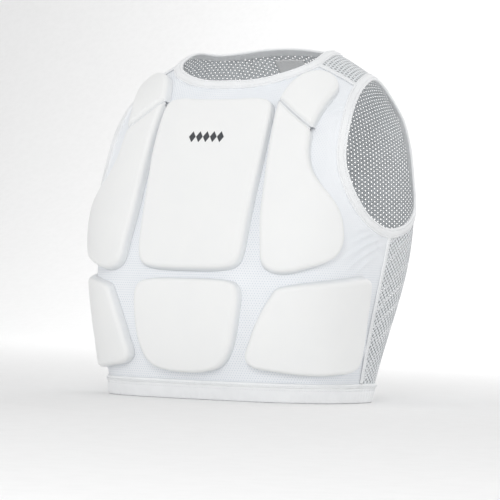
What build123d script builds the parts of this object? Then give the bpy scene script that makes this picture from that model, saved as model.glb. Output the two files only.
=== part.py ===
from build123d import *
import math
import os

# ---------- driving dimensions, mm ----------
station_step = 56.0  # distance between the body stations, taped up the front from the hem
height_at = [0, 54, 111, 167, 221, 276, 326, 374, 401]
front_at = [-114, -132, -132, -124, -108, -92, -67, -34, 18]
back_at = [73, 106, 129, 138, 136, 131, 115, 80, 18]
half_width_at = [140, 141, 151, 163, 169, 175, 174, 166, 156]
side_seam_at = [-10, 4, 5, 5, 6, 7, 9, 14, 22.5]
squareness_at = [2.9, 3.05, 3.35, 3.2, 2.8, 2.55, 2.45, 2.35, 2.2]
shoulder_fall_at = [0, 0, 0, 0, 0, 4, 23, 49, 56]
fall_reference = 140.0  # distance from the centre where the full shoulder fall applies
ridge_level = 448.0  # top of the shoulders
depth_shift = 2.7  # centres the whole piece front to back

gap = 0.3  # clearance between neighbouring layers
fabric = 0.9  # front panel knit
lining = 0.7  # inner lining behind the pads
mesh_thickness = 1.0
pad_height = 10.5  # top of a pad above the fabric
cover_skin = 1.0
pad_edge_radius = 2.5
hem_depth = 16.0
hem_outer = 1.5
hem_inner = -1.7
hem_wall = 0.6
hem_seam_depth = 4.5
band_width = 9.0
band_thickness = 2.6
seam_width = 6.0
seam_thickness = 0.7
panel_foot = 22.5  # level where the panels start, above the hem seam
shoulder_seam_level = 398.0
armpit_level = 185.0

# pad outlines: (distance round the body from the centre front, level up the front)
sternum_half = [
    (0, 320), (22, 321), (42, 324), (54, 323), (61, 316), (65, 302), (66, 280), (66, 255),
    (65, 230), (64, 205), (63, 180), (62, 158), (59, 145), (53, 138), (38, 135), (19, 134),
    (0, 134),
]
belly_half = [
    (0, 127), (24, 127), (44, 126), (56, 123), (62, 115), (63, 102), (61, 84), (58, 67),
    (53, 52), (46, 41), (36, 34), (19, 30), (0, 29),
]
pec_outline = [
    (74, 308), (72, 292), (72, 262), (74, 226), (77, 192), (80, 164), (83, 146), (89, 137),
    (100, 133), (114, 134), (131, 139), (147, 145), (159, 154), (164, 168), (162, 184),
    (155, 202), (144, 217), (132, 230), (122, 244), (115, 260), (113, 277), (109, 290),
    (96, 300), (81, 310),
]
shoulder_outline = [
    (70, 326), (70, 338), (73, 351), (79, 364), (88, 375), (99, 383), (111, 384),
    (120, 378), (124, 367), (122, 350), (118, 331), (116, 313), (111, 302), (98, 306), (81, 317),
]
rib_outline = [
    (93, 109), (101, 119), (122, 124), (143, 127), (166, 130), (189, 133), (206, 134),
    (214, 129), (217, 114), (216, 90), (213, 69), (208, 52), (200, 39), (185, 32), (163, 30),
    (140, 29), (118, 30), (96, 33), (78, 36), (69, 42), (67, 51), (71, 62), (77, 78), (85, 95),
]
# edges: levels above ridge_level carry on over the shoulder and down the back
neck_half = [
    (0, 348), (26, 350), (47, 358), (66, 372), (78, 388), (84, 403), (85, 425), (84, 445),
    (80, 462), (70, 474), (50, 482), (25, 485), (0, 486),
]
armhole_edge = [
    (244, 185), (225, 187), (197, 197), (176, 214), (160, 238), (151, 264), (147, 305),
    (145, 350), (145, 398), (145, 425), (144, 448), (145, 486), (147, 546), (150, 596),
    (156, 638), (167, 666), (184, 687), (208, 702), (232, 709), (250, 711),
]
shoulder_seam_run = [(96, 398), (115, 398), (134, 398)]


# ---------- the wearer's shape ----------
def blend(values, beyond, level):
    row = [2 * values[0] - values[1]] + list(values) + [beyond]
    place = min(max(level / station_step, 0.0), 8.0)
    i = min(int(place), 7)
    f = place - i
    weights = [(1 - f) ** 3, 3 * f**3 - 6 * f**2 + 4, -3 * f**3 + 3 * f**2 + 3 * f + 1, f**3]
    return sum(w * v for w, v in zip(weights, row[i : i + 4])) / 6


def body_point(angle, level):
    front = blend(front_at, back_at[-2], level)
    back = blend(back_at, front_at[-2], level)
    half_width = blend(half_width_at, half_width_at[-2], level)
    side = blend(side_seam_at, side_seam_at[-2], level)
    power = blend(squareness_at, squareness_at[-2], level)
    fall = blend(shoulder_fall_at, shoulder_fall_at[-2], level)
    across = math.sin(angle)
    along = math.cos(angle)
    size = (abs(across) ** power + abs(along) ** power) ** (-1 / power)
    x = half_width * across * size
    depth = side - front if along > 0 else back - side
    y = side - depth * along * size + depth_shift
    z = blend(height_at, height_at[-2], level) - fall * (x / fall_reference) ** 2
    return Vector(x, y, z)


def body_normal(angle, level):
    tiny = 0.002
    upper = min(level + 0.5, ridge_level)
    round_step = body_point(angle + tiny, level) - body_point(angle - tiny, level)
    up_step = body_point(angle, upper) - body_point(angle, upper - 1.0)
    return round_step.cross(up_step).normalized()


def body_place(angle, level, lift):
    return body_point(angle, level) + body_normal(angle, level) * lift


rows = {}


def angle_for(girth, level, start=0.0):
    key = (round(level, 3), start)
    if key not in rows:
        count = 60
        turn = [start + (math.pi / 2 - start) * i / count for i in range(count + 1)]
        if start > 1:
            turn = [math.pi - math.pi / 2 * i / count for i in range(count + 1)]
        points = [body_point(t, level) for t in turn]
        run = [0.0]
        for a, b in zip(points, points[1:]):
            run.append(run[-1] + (b - a).length)
        rows[key] = (turn, run)
    turn, run = rows[key]
    reach = abs(girth)
    i = 0
    while i < len(run) - 2 and run[i + 1] < reach:
        i += 1
    part = (reach - run[i]) / (run[i + 1] - run[i])
    angle = turn[i] + (turn[i + 1] - turn[i]) * part
    return angle if girth >= 0 else -angle


def front_place(girth, level, lift=0.0):
    return body_place(angle_for(girth, level), level, lift)


def back_place(girth, level, lift=0.0):
    return body_place(angle_for(girth, level, math.pi), level, lift)


def cloth_place(girth, level, lift=0.0):
    if level <= ridge_level:
        return front_place(girth, level, lift)
    return back_place(girth, 2 * ridge_level - level, lift)


def smooth_run(points, share):
    # walks through the points along a smooth curve, share runs from 0 to 1
    place = min(share * (len(points) - 1), len(points) - 1 - 1e-9)
    i = int(place)
    f = place - i
    b, c = points[i], points[i + 1]
    a = points[i - 1] if i > 0 else tuple(2 * p - q for p, q in zip(b, c))
    d = points[i + 2] if i + 2 < len(points) else tuple(2 * q - p for p, q in zip(b, c))
    step = []
    for p, q, r, t in zip(a, b, c, d):
        step.append(q + 0.5 * f * (r - p + f * (2 * p - 5 * q + 4 * r - t + f * (3 * (q - r) + t - p))))
    return tuple(step)


def mirrored(half):
    return half + [(-girth, level) for girth, level in reversed(half[1:-1])]


def inset(outline, distance):
    count = len(outline)
    area = 0.0
    for i in range(count):
        area += outline[i - 1][0] * outline[i][1] - outline[i][0] * outline[i - 1][1]
    inward = 1 if area > 0 else -1
    result = []
    for i in range(count):
        before = outline[i - 1]
        after = outline[(i + 1) % count]
        run = math.hypot(after[0] - before[0], after[1] - before[1])
        shift_girth = -inward * (after[1] - before[1]) / run * distance
        shift_level = inward * (after[0] - before[0]) / run * distance
        result.append((outline[i][0] + shift_girth, outline[i][1] + shift_level))
    return result


# ---------- solids built from the shape ----------
surface_fit = 0.05
pad_grid = 12
panel_columns = 28
panel_rows = 36
side_share = 0.998  # leaves a hair of room at the side seams
prism_reach = 45.0


def skin(points, thickness):
    face = Face.make_surface_from_array_of_points(points, tol=surface_fit, min_deg=3, max_deg=8)
    return Solid.thicken(face, thickness)


def pad_slab(outline, low, high):
    margin = 14.0
    girths = [girth for girth, level in outline]
    levels = [level for girth, level in outline]
    first, last = min(girths) - margin, min(max(girths) + margin, 230.0)
    foot, top = min(levels) - margin, max(levels) + margin
    points = []
    for i in range(pad_grid + 1):
        girth = first + (last - first) * i / pad_grid
        column = [
            front_place(girth, foot + (top - foot) * j / pad_grid, low) for j in range(pad_grid + 1)
        ]
        points.append(column)
    return skin(points, high - low)


def pad_plane(outline, lift):
    girths = [girth for girth, level in outline]
    levels = [level for girth, level in outline]
    girth = (min(girths) + max(girths)) / 2
    level = (min(levels) + max(levels)) / 2
    across = front_place(girth + 1, level) - front_place(girth - 1, level)
    angle = angle_for(girth, level)
    return Plane(body_place(angle, level, lift), x_dir=across, z_dir=body_normal(angle, level))


def pad_wall(outline, lift):
    plane = pad_plane(outline, lift)
    flat = [plane.to_local_coords(front_place(g, l, lift)) for g, l in outline]
    return plane, [(point.X, point.Y) for point in flat]


def pad_block(outline, low, high, edge_radius):
    plane, wall = pad_wall(outline, (low + high) / 2)
    with BuildPart() as block:
        with BuildSketch(plane):
            with BuildLine():
                Spline(*wall, periodic=True)
            make_face()
        extrude(amount=prism_reach, both=True)
        add(pad_slab(outline, low, high), mode=Mode.INTERSECT)
        if edge_radius > 0:
            outward = Axis(plane.origin, plane.z_dir)
            fillet(block.faces().sort_by(outward)[-1].edges(), radius=edge_radius)
    return block.part


def pad_cover(outline):
    with BuildPart() as cover:
        add(pad_block(outline, gap, pad_height, pad_edge_radius))
        hollow = pad_block(inset(outline, cover_skin), -gap, pad_height - cover_skin, 0)
        add(hollow, mode=Mode.SUBTRACT)
    return cover.part


def pad_foam(outline):
    return pad_block(inset(outline, cover_skin + gap), gap, pad_height - cover_skin - gap, 0)


def panel_reach(level):
    # share of the half girth a panel slab covers, less above the armpit
    rise = min(max((level - 215.0) / 130.0, 0.0), 1.0)
    return side_share - 0.13 * rise * rise * (3 - 2 * rise)


def panel_slab(first_level, last_level, low, high):
    points = []
    for i in range(panel_columns + 1):
        across = -1 + 2 * i / panel_columns
        column = []
        for j in range(panel_rows + 1):
            level = first_level + (last_level - first_level) * j / panel_rows
            height = level if level <= ridge_level else 2 * ridge_level - level
            angle = across * math.pi / 2 * panel_reach(height)
            if level > ridge_level:
                angle = math.pi - angle if angle >= 0 else -math.pi - angle
            column.append(body_place(angle, height, low))
        points.append(column)
    return skin(points, high - low)


def edge_frame(run, count, toward_cloth):
    # spots, outward normals and directions into the cloth along an edge
    spots, normals, inward = [], [], []
    small = 0.0006
    for i in range(count + 1):
        share = small + (1 - 2 * small) * i / count
        spot = cloth_place(*smooth_run(run, share))
        ahead = cloth_place(*smooth_run(run, share + small))
        behind = cloth_place(*smooth_run(run, share - small))
        normal = (cloth_place(*smooth_run(run, share), 1.0) - spot).normalized()
        spots.append(spot)
        normals.append(normal)
        inward.append(normal.cross(ahead - behind).normalized() * toward_cloth)
    return spots, normals, inward


def ribbon(spots, normals, inward, near, far, low, high):
    # a flat strip between two distances from the edge and two lifts off the cloth
    with BuildPart() as strip:
        for spot, normal, across in zip(spots, normals, inward):
            centre = spot + across * (near + far) / 2 + normal * (low + high) / 2
            with BuildSketch(Plane(centre, x_dir=across, z_dir=across.cross(normal))):
                Rectangle(far - near, high - low)
        loft()
    return strip.part


def neck_cutter(distance):
    spots, normals, inward = edge_frame(neck_run, cutter_points, -1)
    wall = [(s + i * distance) for s, i in zip(spots, inward)]
    with BuildPart() as cutter:
        with BuildSketch(Plane.XY.offset(250)):
            with BuildLine():
                Spline(*[(p.X, p.Y) for p in wall], periodic=True)
            make_face()
        extrude(amount=200)
    return cutter.part


def armhole_cutter(distance):
    spots, normals, inward = edge_frame(armhole_edge, cutter_points, 1)
    wall = [(s + i * distance) for s, i in zip(spots, inward)]
    with BuildPart() as cutter:
        with BuildSketch(Plane.YZ.offset(95)):
            with BuildLine():
                Spline(*[(p.Y, p.Z) for p in wall], periodic=True)
            make_face()
        extrude(amount=150)
        mirror(about=Plane.YZ)
    return cutter.part


def hem_outline(level, lift):
    points = []
    for i in range(hem_points):
        angle = 2 * math.pi * i / hem_points - math.pi
        spot = body_point(angle, level)
        normal = body_normal(angle, level)
        flat = Vector(normal.X, normal.Y, 0).normalized()
        points.append((spot.X + flat.X * lift, spot.Y + flat.Y * lift))
    return points


def hem_ring(foot, top, inner, outer):
    with BuildPart() as ring:
        for level in (foot, (foot + top) / 2, top):
            with BuildSketch(Plane.XY.offset(level)):
                with BuildLine():
                    Spline(*hem_outline(level, outer), periodic=True)
                make_face()
        loft()
        for level in (foot, (foot + top) / 2, top):
            with BuildSketch(Plane.XY.offset(level)):
                with BuildLine():
                    Spline(*hem_outline(level, inner), periodic=True)
                make_face()
        loft(mode=Mode.SUBTRACT)
    return ring.part


cutter_points = 30
hem_points = 40
band_sections = 40
cut_width = band_width + 0.8
neck_run = [(-girth, level) for girth, level in reversed(neck_half)][:-1] + neck_half
neck_hole = neck_cutter(cut_width)
armholes = armhole_cutter(cut_width)

# ---------- panels ----------
with BuildPart() as front_panel:
    add(panel_slab(panel_foot, shoulder_seam_level - gap, -fabric, 0.0))
    add(neck_hole, mode=Mode.SUBTRACT)
    add(armholes, mode=Mode.SUBTRACT)
front_panel.part.label = "front_panel"

with BuildPart() as front_lining:
    add(panel_slab(panel_foot + 2, shoulder_seam_level - 4, -fabric - gap - lining, -fabric - gap))
    add(neck_hole, mode=Mode.SUBTRACT)
    add(armholes, mode=Mode.SUBTRACT)
front_lining.part.label = "front_lining"

with BuildPart() as back_panel:
    back_foot = 2 * ridge_level - panel_foot
    add(panel_slab(shoulder_seam_level + gap, back_foot, -mesh_thickness, 0.0))
    add(neck_hole, mode=Mode.SUBTRACT)
    add(armholes, mode=Mode.SUBTRACT)
back_panel.part.label = "back_panel"

# ---------- bands and seams ----------
band_low = -band_thickness / 2 - 0.4
band_high = band_thickness / 2 - 0.4
with BuildPart() as neck_band:
    add(ribbon(*edge_frame(neck_run, band_sections, -1), 0.0, band_width, band_low, band_high))
neck_band.part.label = "neck_band"

with BuildPart() as armhole_band_left:
    add(ribbon(*edge_frame(armhole_edge, band_sections, 1), 0.0, band_width, band_low, band_high))
armhole_band_left.part.label = "armhole_band_left"

with BuildPart() as hem_band:
    add(hem_ring(0.0, hem_depth, hem_inner, hem_outer))
    pocket = hem_ring(2.0, hem_depth - 2.0, hem_inner + hem_wall, hem_outer - hem_wall)
    add(pocket, mode=Mode.SUBTRACT)
hem_band.part.label = "hem_band"

with BuildPart() as hem_elastic:
    inner = hem_inner + hem_wall + gap
    outer = hem_outer - hem_wall - gap
    add(hem_ring(2.0 + gap, hem_depth - 2.0 - gap, inner, outer))
hem_elastic.part.label = "hem_elastic"

with BuildPart() as hem_seam:
    add(hem_ring(hem_depth + gap, hem_depth + gap + hem_seam_depth, hem_inner, hem_outer + 0.6))
hem_seam.part.label = "hem_seam"

with BuildPart() as shoulder_seam_left:
    seam_frame = edge_frame(shoulder_seam_run, 6, 1)
    add(ribbon(*seam_frame, -seam_width / 2, seam_width / 2, gap, gap + seam_thickness))
shoulder_seam_left.part.label = "shoulder_seam_left"

side_levels = [23 + 151 * i / 12 for i in range(13)]
side_spots = [body_point(math.pi / 2, level) for level in side_levels]
side_normals = [body_normal(math.pi / 2, level) for level in side_levels]
side_across = [Vector(0, -1, 0) for level in side_levels]
with BuildPart() as side_seam_left:
    side_frame = (side_spots, side_normals, side_across)
    add(ribbon(*side_frame, -seam_width / 2, seam_width / 2, gap, gap + seam_thickness))
side_seam_left.part.label = "side_seam_left"

with BuildPart() as armhole_band_right:
    add(mirror(armhole_band_left.part, about=Plane.YZ))
armhole_band_right.part.label = "armhole_band_right"

with BuildPart() as shoulder_seam_right:
    add(mirror(shoulder_seam_left.part, about=Plane.YZ))
shoulder_seam_right.part.label = "shoulder_seam_right"

with BuildPart() as side_seam_right:
    add(mirror(side_seam_left.part, about=Plane.YZ))
side_seam_right.part.label = "side_seam_right"

# ---------- pads ----------
sternum_outline = mirrored(sternum_half)
belly_outline = mirrored(belly_half)

with BuildPart() as sternum_pad_cover:
    add(pad_cover(sternum_outline))
sternum_pad_cover.part.label = "sternum_pad_cover"

with BuildPart() as sternum_pad_foam:
    add(pad_foam(sternum_outline))
sternum_pad_foam.part.label = "sternum_pad_foam"

with BuildPart() as belly_pad_cover:
    add(pad_cover(belly_outline))
belly_pad_cover.part.label = "belly_pad_cover"

with BuildPart() as belly_pad_foam:
    add(pad_foam(belly_outline))
belly_pad_foam.part.label = "belly_pad_foam"

with BuildPart() as chest_pad_cover_left:
    add(pad_cover(pec_outline))
chest_pad_cover_left.part.label = "chest_pad_cover_left"

with BuildPart() as chest_pad_foam_left:
    add(pad_foam(pec_outline))
chest_pad_foam_left.part.label = "chest_pad_foam_left"

with BuildPart() as shoulder_pad_cover_left:
    add(pad_cover(shoulder_outline))
shoulder_pad_cover_left.part.label = "shoulder_pad_cover_left"

with BuildPart() as shoulder_pad_foam_left:
    add(pad_foam(shoulder_outline))
shoulder_pad_foam_left.part.label = "shoulder_pad_foam_left"

with BuildPart() as rib_pad_cover_left:
    add(pad_cover(rib_outline))
rib_pad_cover_left.part.label = "rib_pad_cover_left"

with BuildPart() as rib_pad_foam_left:
    add(pad_foam(rib_outline))
rib_pad_foam_left.part.label = "rib_pad_foam_left"

with BuildPart() as chest_pad_cover_right:
    add(mirror(chest_pad_cover_left.part, about=Plane.YZ))
chest_pad_cover_right.part.label = "chest_pad_cover_right"

with BuildPart() as chest_pad_foam_right:
    add(mirror(chest_pad_foam_left.part, about=Plane.YZ))
chest_pad_foam_right.part.label = "chest_pad_foam_right"

with BuildPart() as shoulder_pad_cover_right:
    add(mirror(shoulder_pad_cover_left.part, about=Plane.YZ))
shoulder_pad_cover_right.part.label = "shoulder_pad_cover_right"

with BuildPart() as shoulder_pad_foam_right:
    add(mirror(shoulder_pad_foam_left.part, about=Plane.YZ))
shoulder_pad_foam_right.part.label = "shoulder_pad_foam_right"

with BuildPart() as rib_pad_cover_right:
    add(mirror(rib_pad_cover_left.part, about=Plane.YZ))
rib_pad_cover_right.part.label = "rib_pad_cover_right"

with BuildPart() as rib_pad_foam_right:
    add(mirror(rib_pad_foam_left.part, about=Plane.YZ))
rib_pad_foam_right.part.label = "rib_pad_foam_right"

# ---------- emblem and neck label ----------
emblem_level = 275.0
emblem_count = 5
emblem_pitch = 8.4
emblem_half_height = 4.6
emblem_lift = pad_height + 0.1
emblem_print = 0.3

emblem_top = []
emblem_foot = []
for i in range(emblem_count):
    middle = (i - (emblem_count - 1) / 2) * emblem_pitch
    emblem_top.append((middle - emblem_pitch / 2, 0.35))
    emblem_top.append((middle, emblem_half_height))
    emblem_foot.append((middle + emblem_pitch / 2, -0.35))
    emblem_foot.append((middle, -emblem_half_height))
emblem_top.append((emblem_count * emblem_pitch / 2, 0.35))
emblem_foot.append((-emblem_count * emblem_pitch / 2, -0.35))
emblem_field = [(-30, emblem_level - 12), (30, emblem_level + 12)]
emblem_outline = emblem_top + sorted(emblem_foot, reverse=True)

with BuildPart() as chest_emblem:
    with BuildSketch(pad_plane(emblem_field, emblem_lift)):
        with BuildLine():
            Polyline(*emblem_outline, close=True)
        make_face()
    extrude(amount=5, both=True)
    add(pad_slab(emblem_field, emblem_lift, emblem_lift + emblem_print), mode=Mode.INTERSECT)
chest_emblem.part.label = "chest_emblem"

label_half_width = 18.0
label_levels = (501.0, 523.0)
label_thickness = 0.4
with BuildPart() as neck_label:
    label_low = -mesh_thickness - gap - label_thickness
    label_points = []
    for i in range(9):
        girth = -label_half_width + label_half_width * i / 4
        levels = [label_levels[0] + (label_levels[1] - label_levels[0]) * j / 4 for j in range(5)]
        label_points.append([cloth_place(girth, level, label_low) for level in levels])
    add(skin(label_points, label_thickness))
neck_label.part.label = "neck_label"

# ---------- export ----------
pieces = [
    front_panel, front_lining, back_panel, neck_band, armhole_band_left, armhole_band_right,
    hem_band, hem_elastic, hem_seam, shoulder_seam_left, shoulder_seam_right,
    side_seam_left, side_seam_right, sternum_pad_cover, sternum_pad_foam,
    belly_pad_cover, belly_pad_foam, chest_pad_cover_left, chest_pad_foam_left,
    chest_pad_cover_right, chest_pad_foam_right, shoulder_pad_cover_left, shoulder_pad_foam_left,
    shoulder_pad_cover_right, shoulder_pad_foam_right, rib_pad_cover_left, rib_pad_foam_left,
    rib_pad_cover_right, rib_pad_foam_right, chest_emblem, neck_label,
]
os.makedirs("parts", exist_ok=True)
for piece in pieces:
    export_step(piece.part, f"parts/{piece.part.label}.step")
low_y = min(piece.part.bounding_box().min.Y for piece in pieces)
high_y = max(piece.part.bounding_box().max.Y for piece in pieces)
print("front to back", round(low_y, 3), round(high_y, 3))
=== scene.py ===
import math

import bmesh
import bpy
import numpy as np
from mathutils import Matrix, Vector


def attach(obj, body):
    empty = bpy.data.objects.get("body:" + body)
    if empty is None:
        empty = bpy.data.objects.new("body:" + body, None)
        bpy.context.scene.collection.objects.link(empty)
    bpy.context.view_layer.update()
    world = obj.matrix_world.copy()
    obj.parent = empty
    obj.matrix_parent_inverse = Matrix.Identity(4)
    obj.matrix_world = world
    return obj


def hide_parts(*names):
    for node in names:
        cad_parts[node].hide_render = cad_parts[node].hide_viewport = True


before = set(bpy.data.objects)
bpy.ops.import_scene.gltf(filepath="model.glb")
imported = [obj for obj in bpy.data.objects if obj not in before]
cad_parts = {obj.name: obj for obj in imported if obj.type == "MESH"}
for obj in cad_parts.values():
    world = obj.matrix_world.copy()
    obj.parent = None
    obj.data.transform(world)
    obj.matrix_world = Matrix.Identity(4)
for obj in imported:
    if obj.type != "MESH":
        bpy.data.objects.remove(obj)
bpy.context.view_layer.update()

print("frame loaded,", len(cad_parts), "nodes")

# the wearer's shape, in millimetres, one value per station up the front
bodyShape = {
    "stationStep": 56.0,
    "ridge": 448.0,  # level of the top of the shoulders; higher levels run down the back
    "depthShift": 2.7,
    "fallReference": 140.0,
    "height": [0, 54, 111, 167, 221, 276, 326, 374, 401],
    "front": [-114, -132, -132, -124, -108, -92, -67, -34, 18],
    "back": [73, 106, 129, 138, 136, 131, 115, 80, 18],
    "halfWidth": [140, 141, 151, 163, 169, 175, 174, 166, 156],
    "side": [-10, 4, 5, 5, 6, 7, 9, 14, 22.5],
    "squareness": [2.9, 3.05, 3.35, 3.2, 2.8, 2.55, 2.45, 2.35, 2.2],
    "fall": [0, 0, 0, 0, 0, 4, 23, 49, 56],
}
beyondRidge = {"front": "back", "back": "front"}
mm = 0.001


def stationValue(name, level):
    # uniform cubic B-spline through the station values, carried over the ridge by its mirror value
    values = np.array(bodyShape[name], float)
    beyond = bodyShape[beyondRidge.get(name, name)][-2]
    row = np.concatenate([[2 * values[0] - values[1]], values, [beyond]])
    place = np.clip(level / bodyShape["stationStep"], 0.0, 8.0)
    i = np.minimum(place.astype(int), 7)
    f = place - i
    return ((1 - f) ** 3 * row[i] + (3 * f ** 3 - 6 * f ** 2 + 4) * row[i + 1]
            + (-3 * f ** 3 + 3 * f ** 2 + 3 * f + 1) * row[i + 2] + f ** 3 * row[i + 3]) / 6


def bodyPoint(angle, level):
    # squared ellipse at each level: front half and back half meet at the side line
    angle, level = np.broadcast_arrays(np.asarray(angle, float), np.asarray(level, float))
    front, back = stationValue("front", level), stationValue("back", level)
    side, halfWidth = stationValue("side", level), stationValue("halfWidth", level)
    power, fall = stationValue("squareness", level), stationValue("fall", level)
    across, along = np.sin(angle), np.cos(angle)
    size = (np.abs(across) ** power + np.abs(along) ** power) ** (-1 / power)
    x = halfWidth * across * size
    depth = np.where(along > 0, side - front, back - side)
    y = side - depth * along * size + bodyShape["depthShift"]
    z = stationValue("height", level) - fall * (x / bodyShape["fallReference"]) ** 2
    return np.stack([x, y, z], -1)


def unit(v):
    # each vector over its own length
    return v / np.maximum(np.linalg.norm(v, axis=-1, keepdims=True), 1e-12)


def bodyNormal(angle, level):
    # cross product of the step round the body and the step up it
    upper = np.minimum(level + 0.5, bodyShape["ridge"])
    roundStep = bodyPoint(angle + 0.002, level) - bodyPoint(angle - 0.002, level)
    upStep = bodyPoint(angle, upper) - bodyPoint(angle, upper - 1.0)
    return unit(np.cross(roundStep, upStep))


# tape table: turn angle for each level and share of the half girth, front and back
tapeLevels = np.linspace(0, bodyShape["ridge"], 225)
tapeShares = np.linspace(0, 1, 241)


def tapeTable(start, end):
    turn = np.linspace(start, end, 401)
    points = bodyPoint(turn[None, :], tapeLevels[:, None])
    steps = np.linalg.norm(np.diff(points, axis=1), axis=-1)
    run = np.concatenate([np.zeros((len(tapeLevels), 1)), np.cumsum(steps, 1)], 1)
    angles = np.array([np.interp(tapeShares * r[-1], r, turn) for r in run])
    return angles, run[:, -1]


frontAngles, frontGirth = tapeTable(0, math.pi / 2)
backAngles, backGirth = tapeTable(math.pi, math.pi / 2)


def foldLevel(level):
    # levels past the ridge count down the back
    over = level > bodyShape["ridge"]
    return np.where(over, 2 * bodyShape["ridge"] - level, level), over


def halfGirth(level):
    # length of the tape from centre front, or centre back past the ridge, to the side line
    height, over = foldLevel(np.asarray(level, float))
    back = np.interp(height, tapeLevels, backGirth)
    return np.where(over, back, np.interp(height, tapeLevels, frontGirth))


def clothAngle(girth, level):
    # bilinear look-up in the tape table
    height, over = foldLevel(level)
    share = np.clip(np.abs(girth) / halfGirth(level), 0, 1)
    row = np.clip(height / (tapeLevels[1] - tapeLevels[0]), 0, len(tapeLevels) - 1.001)
    col = np.clip(share * (len(tapeShares) - 1), 0, len(tapeShares) - 1.001)
    r, c = row.astype(int), col.astype(int)
    fr, fc = row - r, col - c

    def look(table):
        low = table[r, c] * (1 - fc) + table[r, c + 1] * fc
        high = table[r + 1, c] * (1 - fc) + table[r + 1, c + 1] * fc
        return low * (1 - fr) + high * fr

    angle = np.where(over, look(backAngles), look(frontAngles))
    return np.where(girth < 0, -angle, angle), height


def clothFrame(girth, level):
    # spot and outward normal for tape coordinates (distance round, level up)
    girth, level = np.broadcast_arrays(np.asarray(girth, float), np.asarray(level, float))
    angle, height = clothAngle(girth, level)
    return bodyPoint(angle, height), bodyNormal(angle, height)


def clothPlace(girth, level, lift=0.0):
    # the spot on the body pushed out along its normal by the lift
    spot, normal = clothFrame(girth, level)
    return spot + normal * np.asarray(lift, float)[..., None]


def smoothRun(points, count, closed):
    # Catmull-Rom curve through the points, then evened out by its length
    p = np.array(points, float)
    if closed:
        p = np.concatenate([p[-1:], p, p[:2]])
    else:
        p = np.concatenate([2 * p[:1] - p[1:2], p, 2 * p[-1:] - p[-2:-1]])
    t = np.linspace(0, 1, 40, endpoint=False)[:, None, None]
    a, b, c, d = p[:-3], p[1:-2], p[2:-1], p[3:]
    curve = b + 0.5 * t * (c - a + t * (2 * a - 5 * b + 4 * c - d + t * (3 * (b - c) + d - a)))
    curve = curve.transpose(1, 0, 2).reshape(-1, p.shape[1])
    curve = np.concatenate([curve, curve[:1] if closed else p[-2:-1]])
    run = np.concatenate([[0], np.cumsum(np.linalg.norm(np.diff(curve, axis=0), axis=1))])
    even = np.linspace(0, run[-1], count + 1)
    if closed:
        even = even[:-1]
    return np.stack([np.interp(even, run, curve[:, k]) for k in range(p.shape[1])], -1)


def edgeDistance(points, outline):
    # distance to a closed outline, positive inside it
    flat = points.reshape(-1, 2)
    a, b = outline, np.roll(outline, -1, 0)
    ab = b - a
    squared = np.maximum((ab ** 2).sum(1), 1e-9)
    result = np.empty(len(flat))
    batch = 20000  # points at a time, to spare memory
    for start in range(0, len(flat), batch):
        q = flat[start:start + batch, None, :]
        t = np.clip(((q - a) * ab).sum(-1) / squared, 0, 1)
        near = np.sqrt((((a + t[..., None] * ab) - q) ** 2).sum(-1).min(1))
        crosses = (a[:, 1] > q[..., 1]) != (b[:, 1] > q[..., 1])
        rise = np.where(np.abs(ab[:, 1]) < 1e-9, 1e-9, ab[:, 1])
        left = q[..., 0] < a[:, 0] + (q[..., 1] - a[:, 1]) * ab[:, 0] / rise
        inside = (crosses & left).sum(1) % 2 == 1
        result[start:start + batch] = np.where(inside, near, -near)
    return result.reshape(points.shape[:-1])


def smoothStep(low, high, x):
    # 0 below low, 1 above high, three t squared less two t cubed between
    t = np.clip((x - low) / (high - low), 0, 1)
    return t * t * (3 - 2 * t)


def gridFaces(rows, cols, closeRows=False, closeCols=False):
    # one face per cell of the grid; a closed direction joins its last line to its first
    i = np.arange(rows if closeRows else rows - 1)[:, None]
    j = np.arange(cols if closeCols else cols - 1)[None, :]
    up, right = (i + 1) % rows, (j + 1) % cols
    corners = [i * cols + j, i * cols + right, up * cols + right, up * cols + j]
    return np.stack([np.broadcast_to(c, (i.size, j.size)).ravel() for c in corners], -1)


def makePiece(name, points, faces, uv=None, smooth=True, masks=None):
    # points in millimetres; uv and masks hold one value per point
    mesh = bpy.data.meshes.new(name)
    spots = np.asarray(points).reshape(-1, 3) * mm
    mesh.from_pydata(spots.tolist(), [], [list(f) for f in faces])
    mesh.update()
    corners = np.empty(len(mesh.loops), np.int32)
    mesh.loops.foreach_get("vertex_index", corners)
    if uv is not None:
        layer = mesh.uv_layers.new(name="tape")
        spread = np.asarray(uv).reshape(-1, 2)[corners] * mm
        layer.data.foreach_set("uv", spread.astype(np.float32).ravel())
    for key, values in (masks or {}).items():
        layer = mesh.attributes.new(key, "FLOAT", "POINT")
        layer.data.foreach_set("value", np.asarray(values, np.float32).ravel())
    mesh.polygons.foreach_set("use_smooth", [smooth] * len(mesh.polygons))
    piece = bpy.data.objects.new(name, mesh)
    bpy.context.scene.collection.objects.link(piece)
    return piece


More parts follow.
